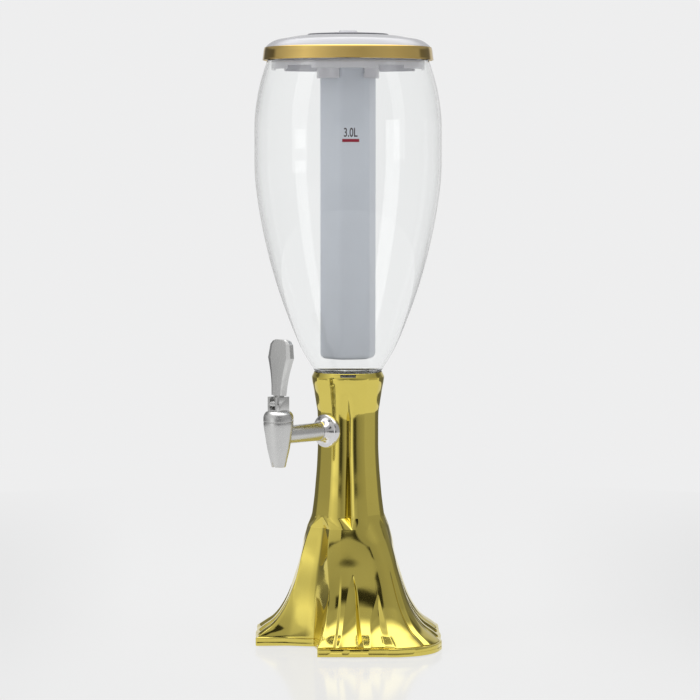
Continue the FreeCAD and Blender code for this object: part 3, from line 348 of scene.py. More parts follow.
# %% Floor
FLOOR_REACH = 6
REAL_TO = 0.45
PLAIN_FROM = 1.5
GLOW_SHARE = 0.79
MIRROR_SHARE = 0.14
floor_material = empty_material("table_top")
table = Graph(floor_material.node_tree)
spot = table.node("ShaderNodeTexCoord").outputs["Object"]
reach = table.number("ShaderNodeVectorMath", {"operation": "LENGTH"}, {0: spot}, "Value")
fade = table.number("ShaderNodeMapRange", {"interpolation_type": "SMOOTHSTEP"}, {
    "Value": reach, "From Min": REAL_TO, "From Max": PLAIN_FROM,
})
lacquer = table.node("ShaderNodeBsdfPrincipled", None, {
    "Base Color": (0.80, 0.80, 0.80, 1), "Roughness": 0.6, "Specular IOR Level": 0.0,
})
pale = table.node("ShaderNodeEmission", None, {"Color": (1, 1, 1, 1)})
lifted = table.mixed(looked_at(table) * GLOW_SHARE, lacquer, pale)
mirror = table.node("ShaderNodeBsdfGlossy", None, {"Roughness": 0.12})
near = table.mixed(MIRROR_SHARE, lifted, mirror)
far = table.node("ShaderNodeEmission", None, {"Color": PALE})
top = table.mixed(fade, near, far)
table.node("ShaderNodeOutputMaterial", None, {"Surface": top.outputs[0]})
floor_mesh = bpy.data.meshes.new("table_top")
floor_corners = [(x * FLOOR_REACH, y * FLOOR_REACH, 0)
                 for x, y in ((-1, -1), (1, -1), (1, 1), (-1, 1))]
floor_mesh.from_pydata(floor_corners, [], [(0, 1, 2, 3)])
floor_mesh.materials.append(floor_material)
floor = added("table_top", floor_mesh)

# %% [markdown]
# ## Finishes
# Each finish starts from one principled shader. What never changes over the surface is
# set on the shader itself, and only small, slow changes of colour, gloss and relief come
# from noise, at the scale that the real process leaves: orange peel on plating, fine
# lines on satin metal, sink and grain on mouldings.


# %% A finish
class Finish(Graph):
    """A material with one principled shader, and noise that reads the object's place."""

    def __init__(self, name, colour, **sockets):
        self.material = empty_material(name)
        super().__init__(self.material.node_tree)
        values = {label.replace("_", " "): value for label, value in sockets.items()}
        self.shader = self.node("ShaderNodeBsdfPrincipled", None, {
            "Base Color": (*colour, 1), **values,
        })
        self.node("ShaderNodeOutputMaterial", None, {"Surface": self.shader.outputs[0]})
        self.place = self.node("ShaderNodeTexCoord").outputs["Object"]
        self.material.diffuse_color = (*colour, 1)

    def noise(self, per_metre, detail=2.0, stretch=(1, 1, 1)):
        """Noise with so many features to a metre, drawn out along an axis by stretch."""
        place = self.node("ShaderNodeMapping", None, {"Vector": self.place, "Scale": stretch})
        return self.number("ShaderNodeTexNoise", None, {
            "Vector": place.outputs[0], "Scale": per_metre, "Detail": detail, "Roughness": 0.5,
        })

    def gloss(self, roughness):
        self.tree.links.new(roughness.socket, self.shader.inputs["Roughness"])

    def blend(self, amount, first, second):
        """Colours the surface from the first colour to the second."""
        mix = self.node("ShaderNodeMix", {"data_type": "RGBA"}, {
            0: amount, 6: (*first, 1), 7: (*second, 1),
        })
        self.tree.links.new(mix.outputs[2], self.shader.inputs["Base Color"])

    def relief(self, height, depth_mm, strength=1.0):
        bump = self.node("ShaderNodeBump", None, {
            "Height": height, "Distance": depth_mm * MM, "Strength": strength,
        })
        self.tree.links.new(bump.outputs[0], self.shader.inputs["Normal"])


# %% Metal finishes
def gold_plating(name, light, deep):
    """Metallised plastic under a yellow lacquer, a little uneven as dipped lacquer is."""
    finish = Finish(name, light, Metallic=1.0, Roughness=0.1)
    lacquer = finish.noise(38, 3)
    peel = finish.noise(260, 2)
    finish.blend(lacquer, light, deep)
    finish.gloss(0.05 + 0.06 * lacquer)
    finish.relief(lacquer + 0.15 * peel, 0.25, 0.25)
    return finish.material


def satin_steel(name, colour, roughness, stretch):
    """Drawn or turned steel: fine lines that run round or along the piece."""
    finish = Finish(name, colour, Metallic=1.0, Roughness=roughness)
    lines = finish.noise(900, 3, stretch)
    cloud = finish.noise(60, 2)
    finish.blend(cloud, colour, tuple(0.88 * part for part in colour))
    finish.gloss(roughness - 0.06 + 0.12 * lines)
    finish.relief(lines, 0.02, 0.35)
    return finish.material


gold = gold_plating("gold_plating", (0.76, 0.64, 0.15), (0.71, 0.58, 0.12))
band_gold = gold_plating("band_gold", (0.80, 0.58, 0.20), (0.75, 0.52, 0.16))
steel = satin_steel("satin_steel", (0.70, 0.70, 0.69), 0.28, (1, 1, 0.06))
polished_steel = satin_steel("polished_steel", (0.80, 0.79, 0.79), 0.13, (1, 0.06, 1))
print("metals", [finish.name for finish in (gold, band_gold, steel, polished_steel)])


# %% Moulded finishes
def moulded(name, colour, roughness, grain_depth, grain=1400, **sockets):
    """Injection-moulded plastic or rubber: a fine grain and a faint change of gloss."""
    finish = Finish(name, colour, Roughness=roughness, **sockets)
    fine = finish.noise(grain, 2)
    cloud = finish.noise(45, 2)
    finish.blend(cloud, colour, tuple(0.94 * part for part in colour))
    finish.gloss(roughness - 0.03 + 0.06 * cloud)
    finish.relief(fine, grain_depth)
    return finish.material


lid_white = moulded("lid_white", (0.72, 0.71, 0.75), 0.16, 0.004, 500, Coat_Weight=0.3)
tube_frost = moulded("tube_frost", (0.72, 0.76, 0.83), 0.34, 0.01, 900, IOR=1.49)
silicone = moulded("silicone", (0.58, 0.58, 0.57), 0.45, 0.01)
dark_rubber = moulded("dark_rubber", (0.035, 0.035, 0.035), 0.62, 0.03)
well_plastic = moulded("well_plastic", (0.66, 0.67, 0.68), 0.38, 0.01)
cover_plastic = moulded("cover_plastic", (0.045, 0.045, 0.045), 0.5, 0.06, 2200)
# Dark grey painted shade, which stands for the shadow in the gap round the ice cap.
painted_gap_shade = moulded("painted_gap_shade", (0.16, 0.16, 0.18), 0.3, 0.01)
dark_ink = moulded("dark_ink", (0.05, 0.03, 0.04), 0.4, 0.004)
red_ink = moulded("red_ink", (0.30, 0.012, 0.03), 0.4, 0.004)

clear_finish = Finish("clear_plastic", (0.985, 0.992, 0.99), Transmission_Weight=1.0, IOR=1.47)
clear_finish.gloss(0.008 + 0.02 * clear_finish.noise(25, 2))
clear_finish.relief(clear_finish.noise(14, 2), 0.05, 0.15)
clear_plastic = clear_finish.material

# %% [markdown]
# ## Outlines and turned pieces
# Most of the tower is turned about an upright line, or about the tap's shank: the bulb,
# the lid, the bands and seals. Their rule is an outline swept round a circle, so one
# Geometry Nodes tree makes all of them. An outline is a list of (radius, height) points.
# Corners get a fillet where the real edge is soft, and bulging walls follow a spline.


# %% Outlines
# A rounding takes at most this share of the wall on each side of its corner.
MOST_OF_WALL = 0.45


def on_round(start, corner, end, share):
    """A point on the round that goes from start to end instead of through a corner."""
    return start * (1 - share) ** 2 + corner * 2 * share * (1 - share) + end * share ** 2


def eased(corners, closed=True, steps=4):
    """Rounds the corners that are given as (radius, height, fillet)."""
    count = len(corners)
    line = []
    for index, corner in enumerate(corners):
        here = np.array(corner[:2], float)
        ends = not closed and index in (0, count - 1)
        if len(corner) < 3 or ends:
            line.append(tuple(here))
            continue
        back = np.array(corners[index - 1][:2], float) - here
        ahead = np.array(corners[(index + 1) % count][:2], float) - here
        length_back, length_ahead = np.linalg.norm(back), np.linalg.norm(ahead)
        start = here + back * min(MOST_OF_WALL, corner[2] / length_back)
        end = here + ahead * min(MOST_OF_WALL, corner[2] / length_ahead)
        line += [tuple(on_round(start, here, end, step / steps)) for step in range(steps + 1)]
    return line


def spline(points, count):
    """A natural cubic through the points, spaced by their distances."""
    line = np.array(points, float)
    knots = np.concatenate([[0], np.cumsum(np.linalg.norm(np.diff(line, axis=0), axis=1))])
    gaps = np.diff(knots)
    size = len(line)
    system = np.eye(size)
    right = np.zeros((size, 2))
    for index in range(1, size - 1):
        system[index, index - 1:index + 2] = (
            gaps[index - 1], 2 * (gaps[index - 1] + gaps[index]), gaps[index])
        right[index] = 3 * (
            (line[index + 1] - line[index]) / gaps[index]
            - (line[index] - line[index - 1]) / gaps[index - 1])
    bend = np.linalg.solve(system, right)
    made = []
    for place in np.linspace(0, knots[-1], count):
        part = min(int(np.searchsorted(knots, place, "right")) - 1, size - 2)
        gap, along = gaps[part], place - knots[part]
        slope = (line[part + 1] - line[part]) / gap - gap * (2 * bend[part] + bend[part + 1]) / 3
        rise = (bend[part + 1] - bend[part]) / (3 * gap)
        made.append(tuple(line[part] + slope * along + bend[part] * along ** 2 + rise * along ** 3))
    return made


# %% The turning tree
def new_tree(name, inputs):
    """A Geometry Nodes tree with named inputs, and its start and end nodes."""
    tree = bpy.data.node_groups.new(name, "GeometryNodeTree")
    tree.interface.new_socket("Geometry", in_out="INPUT", socket_type="NodeSocketGeometry")
    for label, kind in inputs:
        tree.interface.new_socket(label, in_out="INPUT", socket_type="NodeSocket" + kind)
    tree.interface.new_socket("Geometry", in_out="OUTPUT", socket_type="NodeSocketGeometry")
    graph = Graph(tree)
    return tree, graph, graph.node("NodeGroupInput").outputs


def finish_tree(graph, geometry, material):
    """Ends a tree: real geometry, in its finish."""
    real = graph.node("GeometryNodeRealizeInstances", None, {0: geometry})
    dressed = graph.node("GeometryNodeSetMaterial", None, {
        "Geometry": real.outputs[0], "Material": material,
    })
    graph.node("NodeGroupOutput", None, {0: dressed.outputs[0]})


def swept(graph, outline_mesh, sides, ring):
    """Sweeps an outline, drawn in X and Z, round the Z axis."""
    x, _, z = graph.axes(graph.node("GeometryNodeInputPosition").outputs[0])
    flat = graph.node("ShaderNodeCombineXYZ", None, {
        "X": x - Number(graph, ring), "Y": z * -1.0,
    })
    laid = graph.node("GeometryNodeSetPosition", None, {
        "Geometry": outline_mesh, "Position": flat.outputs[0],
    })
    section = graph.node("GeometryNodeMeshToCurve", None, {0: laid.outputs[0]})
    circle = graph.node("GeometryNodeCurvePrimitiveCircle", None, {
        "Resolution": sides, "Radius": ring,
    })
    skin = graph.node("GeometryNodeCurveToMesh", None, {
        "Curve": circle.outputs[0], "Profile Curve": section.outputs[0],
    })
    return graph.node("GeometryNodeMergeByDistance", None, {
        "Geometry": skin.outputs[0], "Distance": 0.002 * MM,
    }).outputs[0]


turning_tree, graph, inputs = new_tree("Turning", [
    ("Sides", "Int"), ("Ring radius", "Float"), ("Finish", "Material"),
])
finish_tree(graph, swept(graph, inputs["Geometry"], inputs["Sides"], inputs["Ring radius"]),
            inputs["Finish"])


# %% Running a tree
# Outlines are swept round a circle of this radius, and keep their own distances.
RING_RADIUS = 0.1


def grown(source, tree, values):
    """Runs a tree on a mesh with named inputs, and gives a plain mesh."""
    carrier = added("carrier", source)
    modifier = carrier.modifiers.new("tree", "NODES")
    modifier.node_group = tree
    for item in tree.interface.items_tree:
        if item.in_out == "INPUT" and item.name in values:
            modifier[item.identifier] = values[item.name]
    result = evaluated(carrier)
    bpy.data.objects.remove(carrier)
    return result


def evaluated(obj):
    """The object's mesh with its modifiers worked in."""
    depsgraph = bpy.context.evaluated_depsgraph_get()
    return bpy.data.meshes.new_from_object(obj.evaluated_get(depsgraph), depsgraph=depsgraph)


def outward(mesh):
    """Turns a closed mesh so that its faces point out."""
    shape = bmesh.new()
    shape.from_mesh(mesh)
    if shape.calc_volume(signed=True) < 0:
        bmesh.ops.reverse_faces(shape, faces=shape.faces)
    shape.to_mesh(mesh)
    shape.free()
    return mesh


def line_mesh(points, closed):
    """An outline as a mesh of edges, in X and Z."""
    mesh = bpy.data.meshes.new("outline")
    count = len(points)
    edges = [(index, (index + 1) % count) for index in range(count if closed else count - 1)]
    mesh.from_pydata([(radius * MM, 0, height * MM) for radius, height in points], edges, [])
    return mesh


def turned(points, finish, sides=128, closed=True):
    """A piece turned about the Z axis."""
    values = {"Sides": sides, "Ring radius": RING_RADIUS, "Finish": finish}
    return outward(grown(line_mesh(points, closed), turning_tree, values))


# %% [markdown]
# ## Copies round the axis
# Screws, feet, lugs and the notches of the lid's ring come in threes, fours and fives
# round the tower's axis. A second tree turns a mesh about that axis so many times.

# %% The copying tree
copy_tree, graph, inputs = new_tree("Copies round the axis", [
    ("Count", "Int"), ("First angle", "Float"), ("Step", "Float"), ("Finish", "Material"),
])
points = graph.node("GeometryNodeMeshLine", None, {
    "Count": inputs["Count"], "Offset": (0, 0, 0),
})
index = Number(graph, graph.node("GeometryNodeInputIndex").outputs[0])
angle = index * Number(graph, inputs["Step"]) + Number(graph, inputs["First angle"])
facing = graph.node("ShaderNodeCombineXYZ", None, {"Z": angle})
copies = graph.node("GeometryNodeInstanceOnPoints", None, {
    "Points": points.outputs[0], "Instance": inputs["Geometry"], "Rotation": facing.outputs[0],
})
finish_tree(graph, copies.outputs[0], inputs["Finish"])


def round_the_axis(mesh, finish, count, first, step):
    """Copies of a mesh made at plan angle 0, first and step in degrees."""
    return grown(mesh, copy_tree, {
        "Count": count, "First angle": math.radians(first), "Step": math.radians(step),
        "Finish": finish,
    })


# %% Solid helpers
def wedge(outer, inner, low, high, width, steps=12):
    """Part of a round tube about plan angle 0, width degrees wide."""
    corners, faces = [], []
    for step in range(steps + 1):
        angle = -width / 2 + width * step / steps
        for radius, height in ((inner, low), (outer, low), (outer, high), (inner, high)):
            corners.append(plan(angle, radius * MM, height * MM))
    for step in range(steps):
        for side in range(4):
            a, b = 4 * step + side, 4 * step + (side + 1) % 4
            faces.append((a, b, b + 4, a + 4))
    faces += [(3, 2, 1, 0), tuple(4 * steps + side for side in range(4))]
    mesh = bpy.data.meshes.new("wedge")
    mesh.from_pydata(corners, [], faces)
    return outward(mesh)


def block(low, high):
    """A box between two corners, in millimetres."""
    shape = bmesh.new()
    bmesh.ops.create_cube(shape, size=1)
    for vertex in shape.verts:
        for axis in range(3):
            share = vertex.co[axis] + 0.5
            vertex.co[axis] = (low[axis] + (high[axis] - low[axis]) * share) * MM
    return mesh_from(shape, "block")


def moved(mesh, turn=None, shift=(0, 0, 0)):
    """Turns a mesh by a matrix and moves it, in millimetres."""
    if turn is not None:
        mesh.transform(turn)
    for vertex in mesh.vertices:
        vertex.co += Vector(shift) * MM
    return mesh


def combined(mesh, other, operation):
    """An exact boolean of two closed meshes."""
    first, second = added("first", mesh), added("second", other)
    modifier = first.modifiers.new("boolean", "BOOLEAN")
    modifier.operation = operation
    modifier.solver = "EXACT"
    modifier.object = second
    result = evaluated(first)
    bpy.data.objects.remove(first)
    bpy.data.objects.remove(second)
    return result


def joined(meshes):
    """Several meshes as one, keeping the first one's finish."""
    shape = bmesh.new()
    for mesh in meshes:
        shape.from_mesh(mesh)
    result = mesh_from(shape, "joined")
    for material in meshes[0].materials:
        result.materials.append(material)
    return result


def place_piece(mesh, name, body, nodes=(), smooth=35, finish=None):
    """Puts a finished mesh in the scene, on its body and in its nodes' place."""
    if finish is not None:
        mesh.materials.clear()
        mesh.materials.append(finish)
    mesh.polygons.foreach_set("use_smooth", [True] * len(mesh.polygons))
    mesh.polygons.foreach_set("material_index", [0] * len(mesh.polygons))
    mesh.set_sharp_from_angle(angle=math.radians(smooth))
    mesh.name = name
    obj = added(name, mesh)
    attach(obj, body)
    if nodes:
        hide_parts(*nodes)
    triangles = sum(len(face.vertices) - 2 for face in mesh.polygons)
    highest = max(vertex.co.z for vertex in mesh.vertices) / MM
    print(name, triangles, "triangles, tops out at", round(highest, 1))
    return obj


# %% [markdown]
# ## The gold base
# The base is one hollow moulding: a skirt that hangs like pleated cloth on a rounded
# square plinth, with a deep recess for the glass at the front, and a neck with four flats
# and four pointed grooves. No revolve or box gives this, so its rule is written out: what
# the plan looks like at any height. Smooth curves give each number for a height, and the
# skin joins the plans. First come the curves, as (height, value) points.


# %% Smooth curves of a height
class Flow:
    """A smooth curve through (height, value) points that never swings past them."""

    def __init__(self, *points):
        self.heights = [float(point[0]) for point in points]
        self.values = [float(point[1]) for point in points]
        rise = np.diff(self.values) / np.diff(self.heights)
        slopes = [rise[0]]
        for before, after in zip(rise, rise[1:]):
            slopes.append(0.0 if before * after <= 0 else 2 * before * after / (before + after))
        self.slopes = slopes + [rise[-1]]

    def __call__(self, height):
        heights, values = self.heights, self.values
        if height <= heights[0]:
            return values[0]
        if height >= heights[-1]:
            return values[-1]
        part = int(np.searchsorted(heights, height, "right")) - 1
        gap = heights[part + 1] - heights[part]
        share = (height - heights[part]) / gap
        start, end = self.slopes[part] * gap, self.slopes[part + 1] * gap
        change = values[part + 1] - values[part]
        return values[part] + share * (start + share * (
            3 * change - 2 * start - end + share * (start + end - 2 * change)))


# %% The skirt's curves
PLINTH_TOP = 8.5
RUN_OUT = 109.0
GROOVE_FOOT = 119.0
side_reach = Flow((9.5, 82.5), (13.2, 77.7), (18.8, 69.8), (24.3, 64.7), (29.8, 60.8), (35.3, 57.5),
                  (40.8, 54.6), (51.9, 50.0), (62.9, 46.6), (74, 44.2), (85, 42.7), (96, 40.9),
                  (109, 37.5))
squareness = Flow((8.5, 1.0), (30.6, 1.15), (58.8, 1.35), (75.8, 1.15), (95.9, 0.6), (109, 0.2))
recess_bottom = Flow((1, 44.6), (56.7, 41.0), (99, 33.7), (109, 32.1))
recess_corner = Flow((1, 27.0), (49.7, 26.3), (81.9, 21.7), (109, 18.8))
fold_place = Flow((1, 0.42), (30, 0.66), (56, 0.95), (109, 0.97))
fold_bulge = Flow((1, 3.5), (56, 0.3), (109, 0.2))
edge_pleat_bottom = Flow((8.5, 35.2), (68.8, 35.6))
edge_pleat_right = Flow((8.5, 37.6), (68.8, 38.0))
pleat_left = Flow((8.5, 39.0), (49.7, 44.2), (68.8, 49.6))
pleat_bottom = Flow((8.5, 51.7), (49.7, 53.0), (68.8, 50.6))
pleat_right = Flow((8.5, 54.8), (49.7, 54.6), (68.8, 51.6))
side_pleat_left = Flow((8.5, 58.1), (30.6, 63.8), (50.7, 71.6))
side_pleat_bottom = Flow((8.5, 67.5), (30.6, 71.0), (50.7, 72.5))
side_pleat_right = Flow((8.5, 71.8), (30.6, 73.4), (50.7, 73.4))
pleat_share = Flow((8.5, 1.0), (36.6, 0.7), (58.8, 0.3), (68.8, 0.0))
side_pleat_share = Flow((8.5, 1.0), (36.6, 0.5), (50.7, 0.0))
flute_share = Flow((8.5, 1.0), (58.8, 0.5), (78.9, 0.0))

# %% The neck's curves
# Half of a flat's width, as a plan angle, and how round the pillow beside a groove is.
FLAT_HALF = 13.5
PILLOW = 2.2
ridge_reach = Flow((119, 34.5), (127.3, 33.3), (138.4, 31.9), (149.4, 30.9), (160.4, 29.9),
                   (171.5, 29.2), (185, 28.7), (206, 28.7), (214, 28.9), (221.2, 29.8),
                   (232.2, 31.0), (237.7, 32.0), (243, 33.0), (245.6, 33.2))
groove_reach = Flow((119, 27.6), (130.2, 26.6), (150.3, 25.2), (178, 24.6), (206, 24.6),
                    (224.1, 28.1), (233, 31.0), (244, 33.0))
arch_half = Flow((119, 17.8), (214, 17.8), (224.1, 14.0), (229, 9.5), (233, 3.0), (244, 1.5))

# %% [markdown]
# ### The plan at a height
# Half of the plan, from the tap's direction to the back, has thirty named corners. They
# are the same ones all the way up, so that the skin has no breaks: a pleat's bottom on
# the skirt becomes a groove's edge on the neck. Between corners the wall is either
# straight, hollow like cloth between two folds, or it lies on the skirt's round. The neck
# is round with four narrow flats, and beside each groove it swells like a pillow.

# %% Corners of the plan
PLINTH_HALF = 84.5
ROUNDED = 43.0 / PLINTH_HALF
# Half of a flute's width, as a plan angle, and how deep flutes and pleats are at most.
FLUTE = 2.75
FLUTE_DEPTH = 3.5
EDGE_PLEAT_DEPTH = 2.5
PLEAT_DEPTH = 7.5
SIDE_PLEAT_DEPTH = 5.5


def square_shape(angle):
    """A rounded square's radius, over that at the middle of its side."""
    turn = math.radians(abs(angle % 90 - 45))
    straight = 1 - ROUNDED
    if math.tan(turn) <= straight:
        return 1 / math.cos(turn)
    reach = straight * (math.cos(turn) + math.sin(turn))
    return reach + math.sqrt(ROUNDED ** 2 - 2 * straight ** 2 + reach ** 2)


def skirt_reach(angle, height):
    """The skirt's radius without its pleats."""
    side = PLINTH_HALF if height <= PLINTH_TOP else side_reach(height)
    return side * (1 + squareness(height) * (square_shape(angle) - 1))


def skirt_corners(height):
    """The half plan's corners on the skirt, as (angle, radius)."""
    pleated = 0.0 if height <= PLINTH_TOP else 1.0
    deep = pleat_share(height) * pleated
    side_deep = side_pleat_share(height) * pleated
    flute = FLUTE_DEPTH * flute_share(height) * pleated
    places = [
        (recess_corner(height), 0), (edge_pleat_bottom(height), EDGE_PLEAT_DEPTH * deep),
        (edge_pleat_right(height), 0), (pleat_left(height), 0),
        (pleat_bottom(height), PLEAT_DEPTH * deep), (pleat_right(height), 0),
        (side_pleat_left(height), 0), (side_pleat_bottom(height), SIDE_PLEAT_DEPTH * side_deep),
        (side_pleat_right(height), 0),
        (79.0, 0), (83.5, 0), (90 - FLUTE, 0), (90.0, flute),
    ]
    side = [(angle, skirt_reach(angle, height) - depth) for angle, depth in places]
    apex = plan(0, recess_bottom(height))
    lip = plan(*side[0])
    wall = lip - apex
    fold = apex + wall * fold_place(height)
    fold += Vector((-wall.y, wall.x, 0)).normalized() * fold_bulge(height)
    fold_angle = math.degrees(math.atan2(fold.x, -fold.y))
    front = [(0.0, apex.length), (fold_angle, fold.length)] + side
    back = [(180 - angle, radius) for angle, radius in reversed(side[:-1])]
    beyond = (152.6 + 180 - FLUTE) / 2
    back.append((beyond, skirt_reach(beyond, height)))
    back += [(180 - FLUTE, side[-2][1]), (180.0, side[-1][1])]
    return front + back


def neck_reach(angle, height):
    """The neck's radius at a plan angle from 0 to 180."""
    from_groove = abs(angle % 90 - 45)
    from_flat = 45 - from_groove
    ridge, arch = ridge_reach(height), arch_half(height)
    if from_flat <= FLAT_HALF:
        return ridge * math.cos(math.radians(FLAT_HALF)) / math.cos(math.radians(from_flat))
    depth = max(0.0, ridge - groove_reach(height)) * max(0.0, 1 - from_groove / arch) ** PILLOW
    return ridge - depth


def neck_corners(height):
    """The same corners on the neck: a flat, a groove and the next flat, twice."""
    arch = arch_half(height)
    side = [FLAT_HALF * 0.7, FLAT_HALF, 45 - arch, 45 - arch / 2, 45.0, 45 + arch / 2, 45 + arch,
            90 - FLAT_HALF, 90 - FLAT_HALF * 0.8, 90 - FLAT_HALF * 0.6, 90 - FLAT_HALF * 0.4,
            90 - FLAT_HALF * 0.2, 90.0]
    angles = [0.0, FLAT_HALF * 0.35] + side + [180 - angle for angle in reversed(side[:-1])]
    angles += [180 - FLAT_HALF * share for share in (0.67, 0.33, 0.0)]
    return [(angle, neck_reach(angle, height)) for angle in angles]


# %% Walls between the corners
# For each wall of the half plan: the points between its corners, and how it runs.
STRAIGHT, HOLLOW, ROUND = "straight", "hollow", "round"
half_walls = [(2, STRAIGHT), (2, STRAIGHT), (2, HOLLOW), (4, STRAIGHT), (5, ROUND), (6, HOLLOW),
              (6, STRAIGHT), (5, ROUND), (5, HOLLOW), (2, STRAIGHT), (4, ROUND), (2, ROUND),
              (2, ROUND), (1, STRAIGHT)]
walls = half_walls + half_walls[:1:-1] + [(6, ROUND), (6, ROUND), (1, STRAIGHT)]
# How far each corner's rounding reaches along its walls.
softness = [1.6, 3.0, 1.3, 0.8, 0.9, 0.9, 1.0, 1.1, 0.9, 1.0, 1.1, 0.5, 0.5, 0.9, 0.7]
softness += softness[13:1:-1] + [0.5, 0.9, 0.7]
ROUNDING = (0.0, 1 / 3, 2 / 3, 1.0)
# How far a hollow wall sags, as a share of its length.
SAG = 0.07


def half_plan(height):
    """The half plan as groups: a corner's point, then the points of the wall after it."""
    neck = height >= GROOVE_FOOT
    corners = neck_corners(height) if neck else skirt_corners(height)
    groups = []
    for place, (angle, radius) in enumerate(corners):
        group = [plan(angle, radius)]
        if place < len(walls):
            count, run = walls[place]
            next_angle, next_radius = corners[place + 1]
            end = plan(next_angle, next_radius)
            for step in range(1, count + 1):
                share = step / (count + 1)
                on_way = angle + (next_angle - angle) * share
                if neck or run == ROUND:
                    reach = neck_reach(on_way, height) if neck else skirt_reach(on_way, height)
                    group.append(plan(on_way, reach))
                    continue
                point = group[0].lerp(end, share)
                if run == HOLLOW and height > PLINTH_TOP:
                    sag = SAG * (end - group[0]).length * 4 * share * (1 - share)
                    point -= point.normalized() * sag * pleat_share(height)
                group.append(point)
        groups.append(group)
    return groups


# %% [markdown]
# ### The plinth's knuckles
# Where the two larger pleats end, the plinth swells a little, like the end of a rolled
# hem. A thin line runs round it at half its height.

# %% The whole ring
# Each knuckle's middle and half width, as plan angles from the tap or from the back.
KNUCKLES = ((48.5, 6.2), (71.0, 4.8))
KNUCKLE_SWELL = 0.8


def knuckle(angle):
    """How far the plinth swells at a plan angle."""
    folded = angle % 90
    if abs(angle) > 90:
        folded = 90 - folded
    swell = 0.0
    for middle, half_width in KNUCKLES:
        away = abs(folded - middle)
        swell = max(swell, min(1.0, max(0.0, (half_width - away) / (half_width * 0.45))))
    return KNUCKLE_SWELL * swell * swell * (3 - 2 * swell)


def towards(here, there, reach):
    """A point so far from here towards there, within the corner's share of the wall."""
    wall = there - here
    return here + wall * min(MOST_OF_WALL, reach / max(wall.length, 0.01))


def ring_at(height, swell=0.0, set_back=0.0):
    """All points of the plan at a height, with the corners rounded."""
    groups = half_plan(height)
    flat = [point for group in groups for point in group]
    starts = np.cumsum([0] + [len(group) for group in groups[:-1]])
    line = []
    for place, group in enumerate(groups):
        here = group[0]
        index = int(starts[place])
        before = flat[index - 1] if index else Vector((-flat[1].x, flat[1].y, 0))
        after = flat[index + 1] if index + 1 < len(flat) else Vector((-before.x, before.y, 0))
        start = towards(here, before, softness[place])
        end = towards(here, after, softness[place])
        line += [on_round(start, here, end, share) for share in ROUNDING] + group[1:]
    middle = len(ROUNDING) // 2
    right = line[middle:len(line) - middle]
    whole = right + [Vector((-point.x, point.y, 0)) for point in reversed(right)]
    made = []
    for point in whole:
        angle = math.degrees(math.atan2(abs(point.x), -point.y))
        push = swell * knuckle(angle) - set_back
        point = point + point.normalized() * push
        made.append(Vector((point.x, point.y, height)))
    return made


print("points round the base", len(ring_at(50)))

# %% [markdown]
# ### Skin, rim and hollow
# The rings are stacked from inside the skirt, over the plinth, up the outside, over the
# rim and down the two bores for the well, and closed with a point at each end. The web
# that the well stands on is what lies between those two ends. The hole for the shank,
# the well's channel and the small window under the rim are then cut out.

# %% Rings of the hollow
WALL = 2.8
WELL_BORE = 21.3
SEAT_BORE = 26.6
WEB_BOTTOM = 163.5
WEB_TOP = 166.5
SKIRT_FOOT = 9.5
LEDGE = 5.8
# The corners of the plan that the inside follows: of the large pleats, the bottoms only.
followed = (0, 1, 2, 6, 9, 11, 14, 17, 19, 22, 26, 27, 29)
bearings = [math.atan2(point.x, -point.y) for point in ring_at(244)]


def inset_plan(corners, wall):
    """A closed plan moved inwards by a wall."""
    half = [plan(angle, radius) for angle, radius in corners]
    whole = half + [Vector((-point.x, point.y, 0)) for point in reversed(half[1:-1])]
    moved_in = []
    for index, here in enumerate(whole):
        back = (here - whole[index - 1]).normalized()
        ahead = (whole[(index + 1) % len(whole)] - here).normalized()
        lean = Vector((-back.y - ahead.y, back.x + ahead.x, 0))
        moved_in.append(here + lean * (wall * 2 / lean.dot(lean)))
    return moved_in


def on_bearings(shape, height, ring):
    """Points on a closed plan, each on the bearing of a point of another ring."""
    made = []
    for aim_point in ring:
        ray_line = Vector((aim_point.x, aim_point.y, 0)).normalized()
        best = None
        for index, corner in enumerate(shape):
            side = shape[(index + 1) % len(shape)] - corner
            cross = ray_line.x * side.y - ray_line.y * side.x
            if abs(cross) < 1e-9:
                continue
            reach = (corner.x * side.y - corner.y * side.x) / cross
            share = (corner.x * ray_line.y - corner.y * ray_line.x) / cross
            if reach > 0 and -1e-6 <= share <= 1 + 1e-6 and (best is None or reach > best):
                best = reach
        made.append(Vector((ray_line.x * best, ray_line.y * best, height)))
    return made


def round_ring(radius, height):
    """A round ring, with a point on each bearing."""
    return [Vector((radius * math.sin(turn), -radius * math.cos(turn), height))
            for turn in bearings]


# %% Stacking the rings
hollow = [round_ring(WELL_BORE, WEB_BOTTOM), round_ring(WELL_BORE, 116.2)]
for height in (RUN_OUT, 83.9, 61.8, 39.7, 16.5, SKIRT_FOOT, LEDGE):
    corners = skirt_corners(max(height, SKIRT_FOOT))
    shape = inset_plan([corners[place] for place in followed], WALL)
    hollow.append(on_bearings(shape, height, ring_at(max(height, SKIRT_FOOT))))
plinth_inside = inset_plan(skirt_corners(PLINTH_TOP), WALL)
for height in (LEDGE, 1.0):
    hollow.append(on_bearings(plinth_inside, height, ring_at(PLINTH_TOP)))

outside = []
